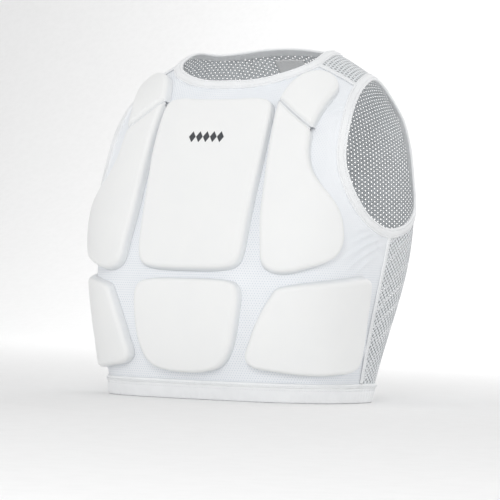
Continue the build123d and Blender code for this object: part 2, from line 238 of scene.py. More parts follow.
# pad outlines on the tape: distance round from centre front, level; halves run from top to bottom
padOutlines = {
    "sternum": [(0, 322), (22, 323), (42, 325.5), (55, 325), (62.5, 320.5), (65.5, 311), (66.5, 298), (67, 280),
                (67, 255), (66, 230), (65, 205), (64, 180), (63, 158), (60, 145), (53, 138), (38, 135),
                (19, 134), (0, 134)],
    "belly": [(0, 127), (24, 127), (44, 126), (56, 123), (62, 115), (63, 102), (61, 84), (58, 67), (53, 52),
              (46, 41), (36, 34), (19, 30), (0, 29)],
    "chest": [(67.4, 320.5), (67.4, 308), (68.5, 290), (70, 262), (72, 226), (74, 192), (78, 164), (81, 146),
              (88, 137), (100, 133), (114, 134), (131, 139), (147, 145), (159, 154), (164, 168), (162, 184),
              (155, 202), (144, 217), (132, 230), (122, 244), (116, 260), (114, 274), (113, 285),
              (111.5, 291), (108.4, 295.1), (97.5, 303.1), (83.5, 313.7), (72.5, 322.4), (69, 323.8)],
    "shoulder": [(67.6, 328), (69.5, 338), (73, 351), (79, 364), (88, 375), (99, 383), (111, 384.5), (120, 379),
                 (124.5, 367), (122.5, 350), (118.5, 331), (115.5, 313), (113.8, 300), (112.5, 295.6),
                 (108.6, 295.5), (97.6, 303.4), (83.6, 314), (72.3, 322.9), (68.9, 325)],
    "rib": [(93, 109), (101, 119), (122, 124), (143, 127), (166, 130), (189, 133), (206, 134), (214, 129),
            (217, 114), (216, 90), (213, 69), (208, 52), (200, 39), (185, 32), (163, 30), (140, 29), (118, 30),
            (96, 33), (78, 36), (69, 42), (67, 51), (71, 62), (77, 78), (85, 95)],
}
padCentres = {"sternum": (0, 226), "belly": (0, 80), "chest": (100, 198),
              "shoulder": (98, 342), "rib": (145, 80)}
neckHalf = [(0, 348), (26, 350), (47, 358), (66, 372), (78, 388), (84, 403), (85, 425), (84, 445), (80, 462),
            (70, 474), (50, 482), (25, 485), (0, 486)]
armholeEdge = [(244, 185), (225, 187), (197, 197), (176, 214), (160, 238), (151, 264), (147, 305), (145, 350),
               (145, 398), (145, 425), (144, 448), (145, 486), (147, 546), (150, 596), (156, 638), (167, 666),
               (184, 687), (208, 702), (232, 709), (250, 711)]


def wholeOutline(half):
    # the half outline, then its mirror image back up the other side
    return half + [(-g, level) for g, level in half[-2:0:-1]]


def onMiddle(kind):
    # the two pads that the middle line runs through
    return kind in ("sternum", "belly")


def padRun(kind, side=1, count=360):
    # smooth outline of a pad; side -1 mirrors it to the wearer's right
    points = padOutlines[kind]
    run = smoothRun(wholeOutline(points) if onMiddle(kind) else points, count, True)
    run = run * [side, 1]
    area = (run[:, 0] * np.roll(run[:, 1], -1) - np.roll(run[:, 0], -1) * run[:, 1]).sum()
    return run if area > 0 else run[::-1]  # anticlockwise seen from outside


neckRun = smoothRun(wholeOutline(neckHalf), 300, True)
armholeRun = smoothRun(armholeEdge, 300, False)
armholeMask = np.concatenate([armholeRun, [(420, 711), (420, 185)]])
padSides = [("sternum", 1, "sternum_pad"), ("belly", 1, "belly_pad")]
padSides += [(kind, side, kind + "_pad") for kind in ("chest", "shoulder", "rib") for side in (1, -1)]
sideWords = {1: "_left", -1: "_right"}


def onLeft(points):
    # the wearer's right folded over onto the left
    return points * np.where(points[..., :1] < 0, [-1.0, 1.0], [1.0, 1.0])


def openingDistance(points):
    # how far inside the cloth a spot lies from the neck and armhole edges
    mirrored = onLeft(points)
    return np.minimum(-edgeDistance(mirrored, neckRun), -edgeDistance(mirrored, armholeMask))


# pads
pads = {
    "height": 10.3,       # from the cloth to the flat top
    "lipWidth": 0.9,      # thin welded lip round the foot
    "lipHeight": 1.2,
    "rim": 0.15,          # height of the very edge of the lip
    "roll": 5.6,          # how far in the rounded wall reaches
    "bulge": 2.3,         # 2 is a quarter circle, more is squarer
    "crown": 0.8,         # rise of the middle of the top
    "foamInset": 4.5,
    "skin": 1.4,
    "hingeFrom": (68, 325),  # moulded hinge line where the chest and shoulder pads meet
    "hingeTo": (112, 293.5),
    "hingeHeight": 6.6,
    "hingeFlat": 2.2,     # full height this far from the line, gone at the fade
    "hingeFade": 5.0,
    "coverFloor": 0.1,    # lift of the underside
    "foamFloor": 0.6,
}


def padLift(inside, crown):
    # welded lip, then a wall that rolls over as a superellipse, then the crown
    lip = np.sqrt(np.clip(inside / (0.5 * pads["lipWidth"]), 0, 1))
    lip = lip * (pads["lipHeight"] - pads["rim"]) + pads["rim"]
    u = np.clip((inside - pads["lipWidth"]) / pads["roll"], 0, 1)
    wall = (1 - (1 - u) ** pads["bulge"]) ** (1 / pads["bulge"])
    return lip + (pads["height"] - pads["lipHeight"]) * wall + pads["crown"] * crown * u


def hingeLift(flat):
    # least height of the skin beside the hinge line: full near the line, gone at the fade distance
    a, b = np.array(pads["hingeFrom"], float), np.array(pads["hingeTo"], float)
    spot = np.abs(flat) - a
    share = np.clip((spot @ (b - a)) / ((b - a) @ (b - a)), 0.06, 0.94)
    away = np.linalg.norm(spot - share[..., None] * (b - a), axis=-1)
    return pads["hingeHeight"] * (1 - smoothStep(pads["hingeFlat"], pads["hingeFade"], away))


def shrunkOutline(outline, centre, inset):
    # each spot slides towards the centre until it is the inset away from the old edge
    reach = np.ones((len(outline), 1))
    for _ in range(12):
        spots = centre + (outline - centre) * reach
        short = inset - edgeDistance(spots, outline)[:, None]
        reach -= 0.8 * short / np.linalg.norm(outline - centre, axis=1, keepdims=True)
    return centre + (outline - centre) * reach


def polarPad(name, outline, centre, rings, topLift, underLift, measured=None):
    # rings of the outline shrunk towards the centre: a top skin, and an underside that shares its rim
    measured = outline if measured is None else measured
    centre = np.array(centre, float)
    t = np.asarray(rings)[:, None, None]
    top = centre + t * (outline - centre)
    inside = np.maximum(edgeDistance(top, measured), 0)
    if measured is outline:
        inside[-1] = 0
    crown = (1 - t[..., 0] ** 2) * np.ones(inside.shape)
    under = np.linspace(1, 0, 9)[1:-1, None, None]
    below = centre + under * (outline - centre)
    n = len(outline)
    flat = np.concatenate([top.reshape(-1, 2), below.reshape(-1, 2), [centre, centre]])
    lifts = np.concatenate([topLift(inside, crown).ravel(), np.full(len(below) * n, underLift),
                            [topLift(edgeDistance(centre[None], measured), np.ones(1))[0], underLift]])
    sheetRows = len(top) + len(below)
    faces = gridFaces(sheetRows, n, closeCols=True)[:, ::-1]
    topPole, underPole = sheetRows * n, sheetRows * n + 1
    last = (sheetRows - 1) * n
    cap = [(topPole, k, (k + 1) % n) for k in range(n)]
    floor = [(underPole, last + (k + 1) % n, last + k) for k in range(n)]
    rim = np.concatenate([inside.ravel(), np.zeros(len(below) * n), [99.0, 0.0]])
    skinCount = inside.size
    if measured is outline:
        lifts[:skinCount] = np.maximum(lifts[:skinCount], hingeLift(flat[:skinCount]))
    spots = clothPlace(flat[:, 0], flat[:, 1], lifts)
    return makePiece(name, spots, faces.tolist() + cap + floor, uv=flat, masks={"inside": rim * mm})


def sideName(stem, side, kind):
    # pads on the middle line carry no side word
    return stem if onMiddle(kind) else stem + sideWords[side]


fineRings = np.concatenate([np.linspace(0.06, 0.78, 15), np.linspace(0.79, 1, 40)])
coarseRings = np.concatenate([np.linspace(0.15, 0.8, 5), np.linspace(0.86, 1, 6)])
padCovers, padFoams = [], []
for kind, side, stem in padSides:
    outline = padRun(kind, side)
    centre = np.array(padCentres[kind], float) * [side, 1]
    cover = polarPad(sideName(stem + "_skin", side, kind), outline, centre, fineRings, padLift,
                     pads["coverFloor"])
    inner = shrunkOutline(outline[::4], centre, pads["foamInset"])
    foam = polarPad(sideName(stem + "_core", side, kind), inner, centre, coarseRings,
                    lambda inside, crown: padLift(inside, crown) - pads["skin"], pads["foamFloor"], outline)
    padCovers.append((cover, sideName(stem + "_cover", side, kind)))
    padFoams.append((foam, sideName(stem + "_foam", side, kind)))
print("pads made")

# front cloth
frontCloth = {
    "columns": 226,
    "rows": 192,
    "hemLevel": 18.0,
    "seamLevel": 398.0,
    "lift": -0.45,
    "edgeTuck": 3.0,       # how far the cut edge lies inside the bands
    "thickness": 0.7,
    "closedShare": 0.85,   # how far the pin holes close beside the armholes
    "padRise": 0.45,       # rise to meet each pad, fading over the reach
    "padReach": 3.0,
    "sag": 0.5,            # dip of the channels between the pads
}
lining = {"columns": 90, "rows": 80, "lift": -2.1, "thickness": 0.4}
# stretch creases: centre on the tape, direction in degrees, half length, half width, height
creases = [
    (200, 187, 10, 20, 1.9, 1.3), (202, 178, 15, 25, 1.9, 1.6), (203, 168, 20, 28, 2.0, 1.7),
    (204, 157, 26, 27, 2.1, 1.6), (205, 145, 32, 22, 2.3, 1.1), (230, 166, 150, 12, 2.0, 0.9),
    (133, 357, 8, 11, 1.6, 1.1), (134, 346, 36, 13, 1.8, 1.4), (134, 333, 42, 13, 1.8, 1.2),
    (137, 292, 97, 34, 2.4, 1.4), (150, 236, 128, 22, 2.2, 1.3), (228, 62, 95, 30, 2.8, 1.0),
    (58, 337, 24, 13, 2.0, 0.9), (26, 333, 3, 16, 2.0, 0.7),
]


def creaseLift(points):
    # each crease is a long soft ridge with a shallow trough beside it
    mirrored = onLeft(points)
    total = np.zeros(points.shape[:-1])
    for g, level, turn, length, width, height in creases:
        offset = mirrored - [g, level]
        c, s = math.cos(math.radians(turn)), math.sin(math.radians(turn))
        along = offset[..., 0] * c + offset[..., 1] * s
        across = -offset[..., 0] * s + offset[..., 1] * c + 0.004 * along ** 2
        profile = np.exp(-(across / width) ** 2) - 0.45 * np.exp(-((across - 2.1 * width) / width) ** 2)
        total += height * profile * np.exp(-(along / length) ** 2)
    return total


padRuns = [padRun(kind, side, 120) for kind, side, stem in padSides if side > 0]


def padDistance(points):
    # distance from the nearest pad: negative beneath it
    mirrored = onLeft(points)
    return np.min([-edgeDistance(mirrored, run) for run in padRuns], axis=0)


def keepFaces(faces, keepPoint):
    # faces with every corner kept
    return faces[keepPoint[faces].all(1)]


def dropLoose(count, faces):
    # the points that faces use, and the faces numbered anew over them
    used = np.unique(faces)
    number = np.full(count, -1)
    number[used] = np.arange(len(used))
    return used, number[faces]


def clothGrid(columns, rows, low, high):
    # rows and columns crowd together where the cloth is bare and creased, at the sides and by the chest
    even = np.linspace(0, 1, rows)
    crowd = even + 0.075 * np.sin(2 * np.pi * even)
    levels = (low + (high - low) * crowd)[:, None]
    even = np.linspace(-1, 1, columns)
    share = (even + 0.11 * np.sin(np.pi * even))[None, :]
    return np.stack(np.broadcast_arrays(share * halfGirth(levels), levels), -1)


def frontSheet(name, columns, rows, lift, relief):
    # the tape grid cut by the openings; relief adds creases and the rise to each pad
    tape = clothGrid(columns, rows, frontCloth["hemLevel"], frontCloth["seamLevel"])
    spots = np.full(tape.shape[:-1], float(lift))
    if relief:
        away = padDistance(tape)
        pull = np.exp(-(np.maximum(away, 0) / frontCloth["padReach"]) ** 2)
        bare = smoothStep(1.0, 9.0, away) * smoothStep(9.5, 15.0, openingDistance(tape))
        spots += pull * frontCloth["padRise"] + creaseLift(tape) * bare
        spots -= frontCloth["sag"] * smoothStep(3.0, 12.0, away) * (1 - smoothStep(20, 40, away))
    faces = keepFaces(gridFaces(rows, columns), openingDistance(tape).ravel() > frontCloth["edgeTuck"])
    used, faces = dropLoose(rows * columns, faces)
    flat = tape.reshape(-1, 2)[used]
    points = clothPlace(flat[:, 0], flat[:, 1], spots.ravel()[used])
    # the pin holes show most between the pads and low down, least beside the armholes
    closed = smoothStep(105, 140, np.abs(flat[:, 0])) * smoothStep(125, 160, flat[:, 1])
    airy = 1 - frontCloth["closedShare"] * closed
    return makePiece(name, points, faces.tolist(), uv=flat, masks={"airy": airy})


def thicken(piece, thickness):
    # a second layer inward, in millimetres
    wall = piece.modifiers.new("thickness", "SOLIDIFY")
    wall.thickness = thickness * mm
    wall.offset = -1.0


frontPanel = frontSheet("front_panel_knit", frontCloth["columns"], frontCloth["rows"], frontCloth["lift"], True)
frontLining = frontSheet("front_lining_knit", lining["columns"], lining["rows"], lining["lift"], False)
thicken(frontPanel, frontCloth["thickness"])
thicken(frontLining, lining["thickness"])
print("front cloth made")

# back mesh
backMesh = {
    "pitch": 5.0,          # between neighbouring holes
    "hole": 1.05,          # radius of a hole
    "lift": -0.4,
    "seamLevel": 398.0,
    "hemLevel": 877.0,     # 19 above the hem, counted down the back
    "edgeTuck": 2.2,
    "reach": 260,          # widest half girth that the lattice has to cover
    "sideMargin": 2.2,     # no holes nearer than this to the side line
    "endMargin": 2,        # nor than this to the shoulder seam and the hem
    "slack": 0.2,
    "lowest": 890,         # the tape is only measured down to here
}


def holedCloth(name):
    # hexagons on a staggered lattice, each with a ring of faces round its hole; border hexagons are whole
    pitch, top, foot = backMesh["pitch"], backMesh["seamLevel"], backMesh["hemLevel"]
    rowStep = pitch / 2
    colStep = pitch * math.sqrt(3) / 2
    rows = int((foot - top) / rowStep) + 6
    cols = int(backMesh["reach"] / colStep) + 2
    c, r = np.meshgrid(np.arange(-cols, cols + 1), np.arange(-2, rows), indexing="ij")
    keep = (c + r) % 2 == 0
    c, r = c[keep], r[keep]
    centres = np.stack([c * colStep, top + r * rowStep], -1)
    corner = pitch / math.sqrt(3)
    turn = np.arange(6) * math.pi / 3
    corners = centres[:, None] + corner * np.stack([np.cos(turn), np.sin(turn)], -1)
    half = halfGirth(np.clip(centres[:, 1], 0, backMesh["lowest"]))
    clear = openingDistance(centres)
    inRange = (np.abs(centres[:, 0]) < half + corner) & (clear > backMesh["edgeTuck"])
    inRange &= corners[:, :, 1].max(1) > top + backMesh["slack"]
    inRange &= corners[:, :, 1].min(1) < foot - backMesh["slack"]
    centres, corners, half = centres[inRange], corners[inRange], half[inRange]
    holed = np.abs(centres[:, 0]) < half - backMesh["sideMargin"]
    holed &= (centres[:, 1] > top + backMesh["endMargin"]) & (centres[:, 1] < foot - backMesh["endMargin"])
    # shared corners are welded by their rounded place
    keys = np.round(corners.reshape(-1, 2) * 50).astype(np.int64)
    key = keys[:, 0] * 1000003 + keys[:, 1]
    first, number = np.unique(key, return_index=True, return_inverse=True)[1:]
    cornerSpots = corners.reshape(-1, 2)[first]
    number = number.reshape(-1, 6)
    ringTurn = np.arange(12) * math.pi / 6
    ring = centres[holed][:, None] + backMesh["hole"] * np.stack([np.cos(ringTurn), np.sin(ringTurn)], -1)
    base = len(cornerSpots) + np.arange(len(ring))[:, None] * 12
    faces = []
    outer = number[holed]
    for k in range(6):
        n = (k + 1) % 6
        faces.append(np.stack([outer[:, k], outer[:, n], base[:, 0] + 2 * n, base[:, 0] + 2 * k + 1], -1))
        faces.append(np.stack([outer[:, k], base[:, 0] + 2 * k + 1, base[:, 0] + 2 * k, base[:, 0] + 2 * k], -1))
    quads = np.concatenate(faces[0::2])
    triangles = np.concatenate(faces[1::2])[:, :3]
    whole = number[~holed]
    flat = np.concatenate([cornerSpots, ring.reshape(-1, 2)])
    limit = halfGirth(np.clip(flat[:, 1], 0, backMesh["lowest"]))
    flat[:, 1] = np.clip(flat[:, 1], top, foot)
    flat[:, 0] = np.clip(flat[:, 0], -limit, limit)
    points = clothPlace(flat[:, 0], flat[:, 1], np.full(len(flat), backMesh["lift"]))
    holeEdge = np.concatenate([np.zeros(len(cornerSpots)), np.ones(ring.shape[0] * 12)])
    faceList = quads.tolist() + triangles.tolist() + whole.tolist()
    return makePiece(name, points, faceList, uv=flat, masks={"holeEdge": holeEdge}), len(ring)


backPanel, holeCount = holedCloth("back_panel_mesh")
print("back mesh made,", holeCount, "holes")

# bound edges
bands = {
    "width": 8.8,
    "outer": 1.0,          # lift of the face over the cloth
    "inner": -2.0,
    "pillow": 0.45,        # how much the middle of the face swells
    "groove": 0.35,        # dip under each stitch row
    "stitchRows": (1.6, 7.4),
    "stitchStep": 2.6,
    "stitchLength": 1.9,
    "stitchRadius": 0.24,
    "stitchLift": 0.12,    # how far a thread rides over the face
}


def intoCloth(run, toward, closed):
    # at each point of an edge of the tape, the direction square to it and into the cloth
    ahead = np.roll(run, -1, 0) if closed else np.concatenate([run[1:], 2 * run[-1:] - run[-2:-1]])
    behind = np.roll(run, 1, 0) if closed else np.concatenate([2 * run[:1] - run[1:2], run[:-1]])
    along = unit(ahead - behind)
    return np.stack([-along[:, 1], along[:, 0]], -1) * toward


def bandProfile(width, outer, inner, pillow, groove, rows, count=26):
    # a folded strip in cross section: outer face, rounded fold at the edge, inner face, blunt far end
    w = np.linspace(0.0, width, count)
    face = outer + pillow * np.sin(np.pi * w / width) ** 0.8
    for row in rows:
        face -= groove * np.exp(-((w - row) / 0.7) ** 2)
    middle = (outer + inner) / 2
    turn = np.linspace(-np.pi / 2, np.pi / 2, 9)[1:-1]
    radius = (outer - inner) / 2
    fold = np.stack([-0.75 * radius * np.cos(turn), middle + radius * np.sin(turn)], -1)
    end = np.stack([width + 0.35 * radius * np.cos(turn[::-1]), middle + radius * np.sin(turn[::-1])], -1)
    faceLine = np.stack([w, face], -1)
    back = np.stack([np.linspace(width, 0, 9), np.full(9, inner)], -1)
    return np.concatenate([faceLine, end, back, fold])


def sweptBand(name, run, toward, closed, profile, lengthwise, wave):
    # the profile carried along the edge; across is measured into the cloth
    across = intoCloth(run, toward, closed)
    flat = run[:, None] + across[:, None] * profile[None, :, :1]
    lifts = profile[None, :, 1] + wave(lengthwise)[:, None] * smoothStep(0, 2, profile[None, :, 1] + 0.5)
    points = clothPlace(flat[..., 0], flat[..., 1], lifts)
    uv = np.stack(np.broadcast_arrays(lengthwise[:, None], profile[None, :, 0]), -1)
    faces = gridFaces(len(run), len(profile), True, True)
    return makePiece(name, points, faces.tolist(), uv=uv)


def runLength(run):
    # distance along the run at each of its points
    return np.concatenate([[0], np.cumsum(np.linalg.norm(np.diff(run, axis=0), axis=1))])


def fixFaces(piece):
    # recalculated so that every face of a closed form points outwards
    build = bmesh.new()
    build.from_mesh(piece.data)
    bmesh.ops.recalc_face_normals(build, faces=build.faces)
    build.to_mesh(piece.data)
    build.free()
    return piece


def closeRun(points, normals):
    # the first point and normal once more at the end
    return np.concatenate([points, points[:1]]), np.concatenate([normals, normals[:1]])


def threadRow(points, normals, slant, step=None, count=None):
    # stitches spread evenly along a run: the start, end and normal of each, its ends moved apart by the slant
    length = runLength(points)
    count = count or int(length[-1] / step)
    centres = (np.arange(count) + 0.5) * length[-1] / count
    half = bands["stitchLength"] / 2

    def at(place, rows):
        return np.stack([np.interp(place, length, rows[:, k]) for k in range(3)], -1)

    start, end = at(centres - half, points), at(centres + half, points)
    normal = unit(at(centres, normals))
    side = np.cross(normal, unit(end - start))
    return start - side * slant / 2, end + side * slant / 2, normal


def stitchRow(run, toward, closed, across):
    # a row of straight stitches beside an edge of the tape
    flat = run + intoCloth(run, toward, closed) * across
    points, normals = clothFrame(flat[:, 0], flat[:, 1])
    points = points + normals * (bands["outer"] + bands["stitchLift"])
    if closed:
        points, normals = closeRun(points, normals)
    return threadRow(points, normals, 0.0, step=bands["stitchStep"])


def stitchMesh(name, rows):
    # each stitch is a short six-sided thread, fullest in the middle, with its ends sunk into the cloth
    start, end, normal = [np.concatenate([row[k] for row in rows]) for k in range(3)]
    along = unit(end - start)
    side = np.cross(normal, along)
    place = np.array([0.0, 0.18, 0.5, 0.82, 1.0])
    size = np.array([0.45, 0.9, 1.0, 0.9, 0.45]) * bands["stitchRadius"]
    sink = np.array([-0.32, 0.0, 0.08, 0.0, -0.32])
    turn = np.arange(6) * np.pi / 3
    centre = start[:, None] + (end - start)[:, None] * place[None, :, None]
    centre = centre + normal[:, None] * sink[None, :, None]
    ring = side[:, None, None] * np.cos(turn)[None, None, :, None]
    ring = ring + normal[:, None, None] * np.sin(turn)[None, None, :, None]
    points = centre[:, :, None] + ring * size[None, :, None, None]
    single = gridFaces(5, 6, closeCols=True)
    single = np.concatenate([single, [[0, 5, 4, 3], [0, 3, 2, 1], [24, 25, 26, 27], [24, 27, 28, 29]]])
    base = (np.arange(len(start)) * 30)[:, None, None]
    faces = (single[None] + base).reshape(-1, 4)
    return fixFaces(makePiece(name, points, faces.tolist()))


def neckWave(length):
    # two slow sines along the edge, so that the binding is not perfectly even
    return 0.12 * np.sin(length / 9.0) + 0.08 * np.sin(length / 4.3 + 1.0)


def armWave(length):
    # the same with a longer, deeper swing
    return 0.16 * np.sin(length / 11.0 + 0.5) + 0.10 * np.sin(length / 4.7)


neckLoop = smoothRun(wholeOutline(neckHalf), 420, True)
armLoops = {1: smoothRun(armholeEdge, 420, False)}
armLoops[-1] = armLoops[1] * [-1, 1]
profile = bandProfile(bands["width"], bands["outer"], bands["inner"], bands["pillow"], bands["groove"],
                      bands["stitchRows"])
neckBand = fixFaces(sweptBand("neck_band_binding", neckLoop, -1, True, profile, runLength(neckLoop), neckWave))
armBands, armStitches = {}, {}
for side, loop in armLoops.items():
    armBands[side] = fixFaces(sweptBand("armhole_band_binding" + sideWords[side], loop, side, False,
                                        profile, runLength(loop), armWave))
neckStitches = stitchMesh("neck_band_stitches", [
    stitchRow(neckLoop, -1, True, row) for row in bands["stitchRows"]])
for side, loop in armLoops.items():
    armStitches[side] = stitchMesh("armhole_band_stitches" + sideWords[side], [
        stitchRow(loop, side, False, row) for row in bands["stitchRows"]])
print("neck and armhole bands made")

# hem
hem = {
    "bandTop": 16.4,
    "bandOuter": 1.3,
    "bandInner": -1.9,
    "seamFoot": 16.2,
    "seamTop": 20.9,
    "seamHeight": 2.1,
    "pucker": 0.16,
    "puckerLength": 6.5,
    "elasticLevels": (3.0, 13.0),
    "around": 900,
    "girth": 790,
    "groove": 13.6,        # level of the stitch row in the band
    "grooveStep": 2.6,
    "weltStitches": 18.5,  # level of the stitch row along the welt
    "weltStep": 2.4,
    "weltSlant": 0.9,
}


def roundBody(levels, lifts, columns):
    # a closed ring from centre front round the left side and back; the distance from the middle
    # line grows in the first and third quarters and shrinks in the others
    share = np.arange(columns) / columns * 4
    quarter = np.minimum(share.astype(int), 3)
    f = share - quarter
    front = (quarter == 0) | (quarter == 3)
    size = np.where((quarter == 0) | (quarter == 2), f, 1 - f)
    sign = np.where(quarter < 2, 1.0, -1.0)
    levels = np.asarray(levels, float)[None, :] + np.zeros((columns, 1))
    tapeLevel = np.where(front[:, None], levels, 2 * bodyShape["ridge"] - levels)
    girth = size[:, None] * halfGirth(tapeLevel) * sign[:, None]
    points = clothPlace(girth, tapeLevel, lifts)
    uv = np.stack(np.broadcast_arrays(runLength(points[:, 0])[:, None], levels), -1)
    return points, uv


def puckers(columns):
    # small waves round the hem, uneven in length and height
    turn = np.arange(columns) / columns * 2 * np.pi
    count = round(hem["girth"] / hem["puckerLength"])
    return np.sin(turn * count + 1.5 * np.sin(turn * 5)) * (0.6 + 0.4 * np.sin(turn * 7 + 1))


def hemRing(name, profile, pucker):
    # the profile carried round the hem; only its outer side is puckered
    columns = hem["around"]
    outer = smoothStep(0.0, 1.0, profile[None, :, 1])
    lifts = profile[None, :, 1] + pucker * puckers(columns)[:, None] * outer
    points, uv = roundBody(profile[:, 0], lifts, columns)
    return fixFaces(makePiece(name, points, gridFaces(columns, len(profile), True, True).tolist(), uv=uv))


def hemBandProfile():
    # outer face up from the rounded fold at the hem, then back down inside
    outer, inner, top = hem["bandOuter"], hem["bandInner"], hem["bandTop"]
    turn = np.linspace(0, np.pi, 11)
    radius = (outer - inner) / 2
    fold = np.stack([0.3 + radius * 0.8 * (1 - np.sin(turn)), (outer + inner) / 2 - radius * np.cos(turn)], -1)
    rise = np.linspace(radius * 0.8, top, 14)[1:]
    face = outer + 0.25 * np.sin(np.pi * rise / top)
    face -= 0.4 * np.exp(-((rise - hem["groove"]) / 0.8) ** 2)
    up = np.stack([rise, face], -1)
    down = np.stack([np.linspace(top, radius * 0.8, 8)[:-1], np.full(7, inner)], -1)
    return np.concatenate([fold, up, down])


def ridgeProfile():
    # a raised rounded welt with a dip along its middle
    low, high, height = hem["seamFoot"], hem["seamTop"], hem["seamHeight"]
    turn = np.linspace(0, np.pi, 15)
    level = (low + high) / 2 - (high - low) / 2 * np.cos(turn)
    lift = 0.1 + (height - 0.1) * np.sin(turn) ** 0.75
    lift -= 0.25 * np.exp(-((level - (low + high) / 2) / 0.6) ** 2)
    return np.concatenate([np.stack([level, lift], -1), [[high - 0.4, -0.3], [low + 0.4, -0.3]]])


def elasticProfile():
    # a flat strip, a little fuller in the middle
    low, high = hem["elasticLevels"]
    return np.array([(low, 0.2), ((low + high) / 2, 0.3), (high, 0.2), (high, -0.7), (low, -0.7)])


hemBand = hemRing("hem_band_folded", hemBandProfile(), hem["pucker"])
hemSeam = hemRing("hem_seam_welt", ridgeProfile(), hem["pucker"])
hemElastic = hemRing("hem_elastic_tape", elasticProfile(), 0.0)


def hemStitchRow(level, lift, step, slant):
    # a row round the hem; its normal is square to the run and to the step up the cloth
    columns = hem["around"]
    lifts = lift + hem["pucker"] * puckers(columns)[:, None]
    points = roundBody([level], lifts, columns)[0][:, 0]
    upper = roundBody([level + 1.0], lifts, columns)[0][:, 0]
    along = unit(np.roll(points, -1, 0) - np.roll(points, 1, 0))
    normals = unit(np.cross(along, unit(upper - points)))
    points, normals = closeRun(points, normals)
    return threadRow(points, normals, slant, step=step)


hemStitches = stitchMesh("hem_stitches", [
    hemStitchRow(hem["groove"], hem["bandOuter"] + 0.05, hem["grooveStep"], 0.0),
    hemStitchRow(hem["weltStitches"], hem["seamHeight"] - 0.02, hem["weltStep"], hem["weltSlant"]),
])
print("hem made")

# joined seams
seams = {
    "width": 6.4,
    "height": 0.95,
    "foot": 0.1,
    "rows": (-1.7, 1.7),
    "sideLevels": (21.5, 176.5),
    "shoulderGirths": (88.0, 142.0),
    "sideSteps": 90,       # steps of the swept tape
    "shoulderSteps": 40,
    "sideStitches": 60,
    "shoulderStitches": 21,
    "slant": 0.7,
    "samples": 60,
    "uvLength": 160,
}


def stripProfile(count=17):
    # low rounded tape: three flat-locked ridges across its face
    w = np.linspace(-1, 1, count)
    face = seams["foot"] + (seams["height"] - seams["foot"]) * (1 - np.abs(w) ** 5)
    face += 0.16 * np.cos(w * np.pi * 3)
    half = seams["width"] / 2
    under = np.array([(half, -0.3), (0, -0.3), (-half, -0.3)])
    return np.concatenate([np.stack([w * half, face], -1), under])


def sideTape(across, level):
    # negative steps lie on the front, positive ones on the back
    front = across <= 0
    tapeLevel = np.where(front, level, 2 * bodyShape["ridge"] - level)
    return halfGirth(tapeLevel) - np.abs(across), tapeLevel


def closedStrip(name, across, lifts, place, count, side):
    # profile carried along the seam, with its two ends closed
    along = np.linspace(0, 1, count)[:, None]
    girth, level = place(across[None, :] + 0 * along, along + 0 * across[None, :])
    points = clothPlace(girth * side, level, lifts[None, :] + 0 * along)
    k = len(across)
    faces = gridFaces(count, k, False, True).tolist()
    faces += [list(range(k)), list(range((count - 1) * k, count * k))[::-1]]
    uv = np.stack(np.broadcast_arrays(along * seams["uvLength"], across[None, :]), -1)
    return fixFaces(makePiece(name, points, faces, uv=uv))


def sidePlace(across, share):
    # share of the way up the side line
    low, high = seams["sideLevels"]
    return sideTape(across, low + (high - low) * share)


def shoulderPlace(across, share):
    # share of the way out along the shoulder seam
    low, high = seams["shoulderGirths"]
    return low + (high - low) * share, frontCloth["seamLevel"] + across


def seamStitches(name, place, count, side):
    # one row of slanted stitches along each side of the seam
    rows = []
    for across in seams["rows"]:
        girth, level = place(np.full(seams["samples"], across), np.linspace(0.01, 0.99, seams["samples"]))
        points, normals = clothFrame(girth * side, level)
        points = points + normals * (seams["height"] + bands["stitchLift"])
        rows.append(threadRow(points, normals, seams["slant"], count=count))
    return stitchMesh(name, rows)


strip = stripProfile()
sideSeams, shoulderSeams, seamThreads = {}, {}, {}
for side, word in sideWords.items():
    sideSeams[side] = closedStrip("side_seam_tape" + word, strip[:, 0], strip[:, 1], sidePlace,
                                  seams["sideSteps"], side)
    shoulderSeams[side] = closedStrip("shoulder_seam_tape" + word, strip[:, 0], strip[:, 1], shoulderPlace,
                                      seams["shoulderSteps"], side)
    seamThreads[side] = [
        seamStitches("side_seam_stitches" + word, sidePlace, seams["sideStitches"], side),
        seamStitches("shoulder_seam_stitches" + word, shoulderPlace, seams["shoulderStitches"], side),
    ]
print("seams made")

# printed mark and neck label
emblem = {
    "level": 275.0,
    "halfWidth": 21.0,
    "halfHeight": 6.0,
    "diamonds": 5,
    "spare": 0.94,         # each diamond's width as a share of its place in the chain
    "print": 0.22,         # thickness of the print over the skin
    "sunk": 0.3,           # and how deep its underside sits in it
}
label = {"levels": (501.0, 523.0), "halfWidth": 18.0, "lift": -2.2, "thickness": 0.4}


def padTopLift(kind, flat):
    # the lift of a pad's top, with the crown read along the ray from its centre
    outline, centre = padRun(kind), np.array(padCentres[kind], float)
    inside = edgeDistance(flat, outline)
    reach = unit(flat - centre)
    rays = unit(outline - centre)
    near = np.argmax(reach @ rays.T, axis=1)
    t = np.linalg.norm(flat - centre, axis=1) / np.linalg.norm(outline[near] - centre, axis=1)
    return padLift(inside, 1 - t ** 2)


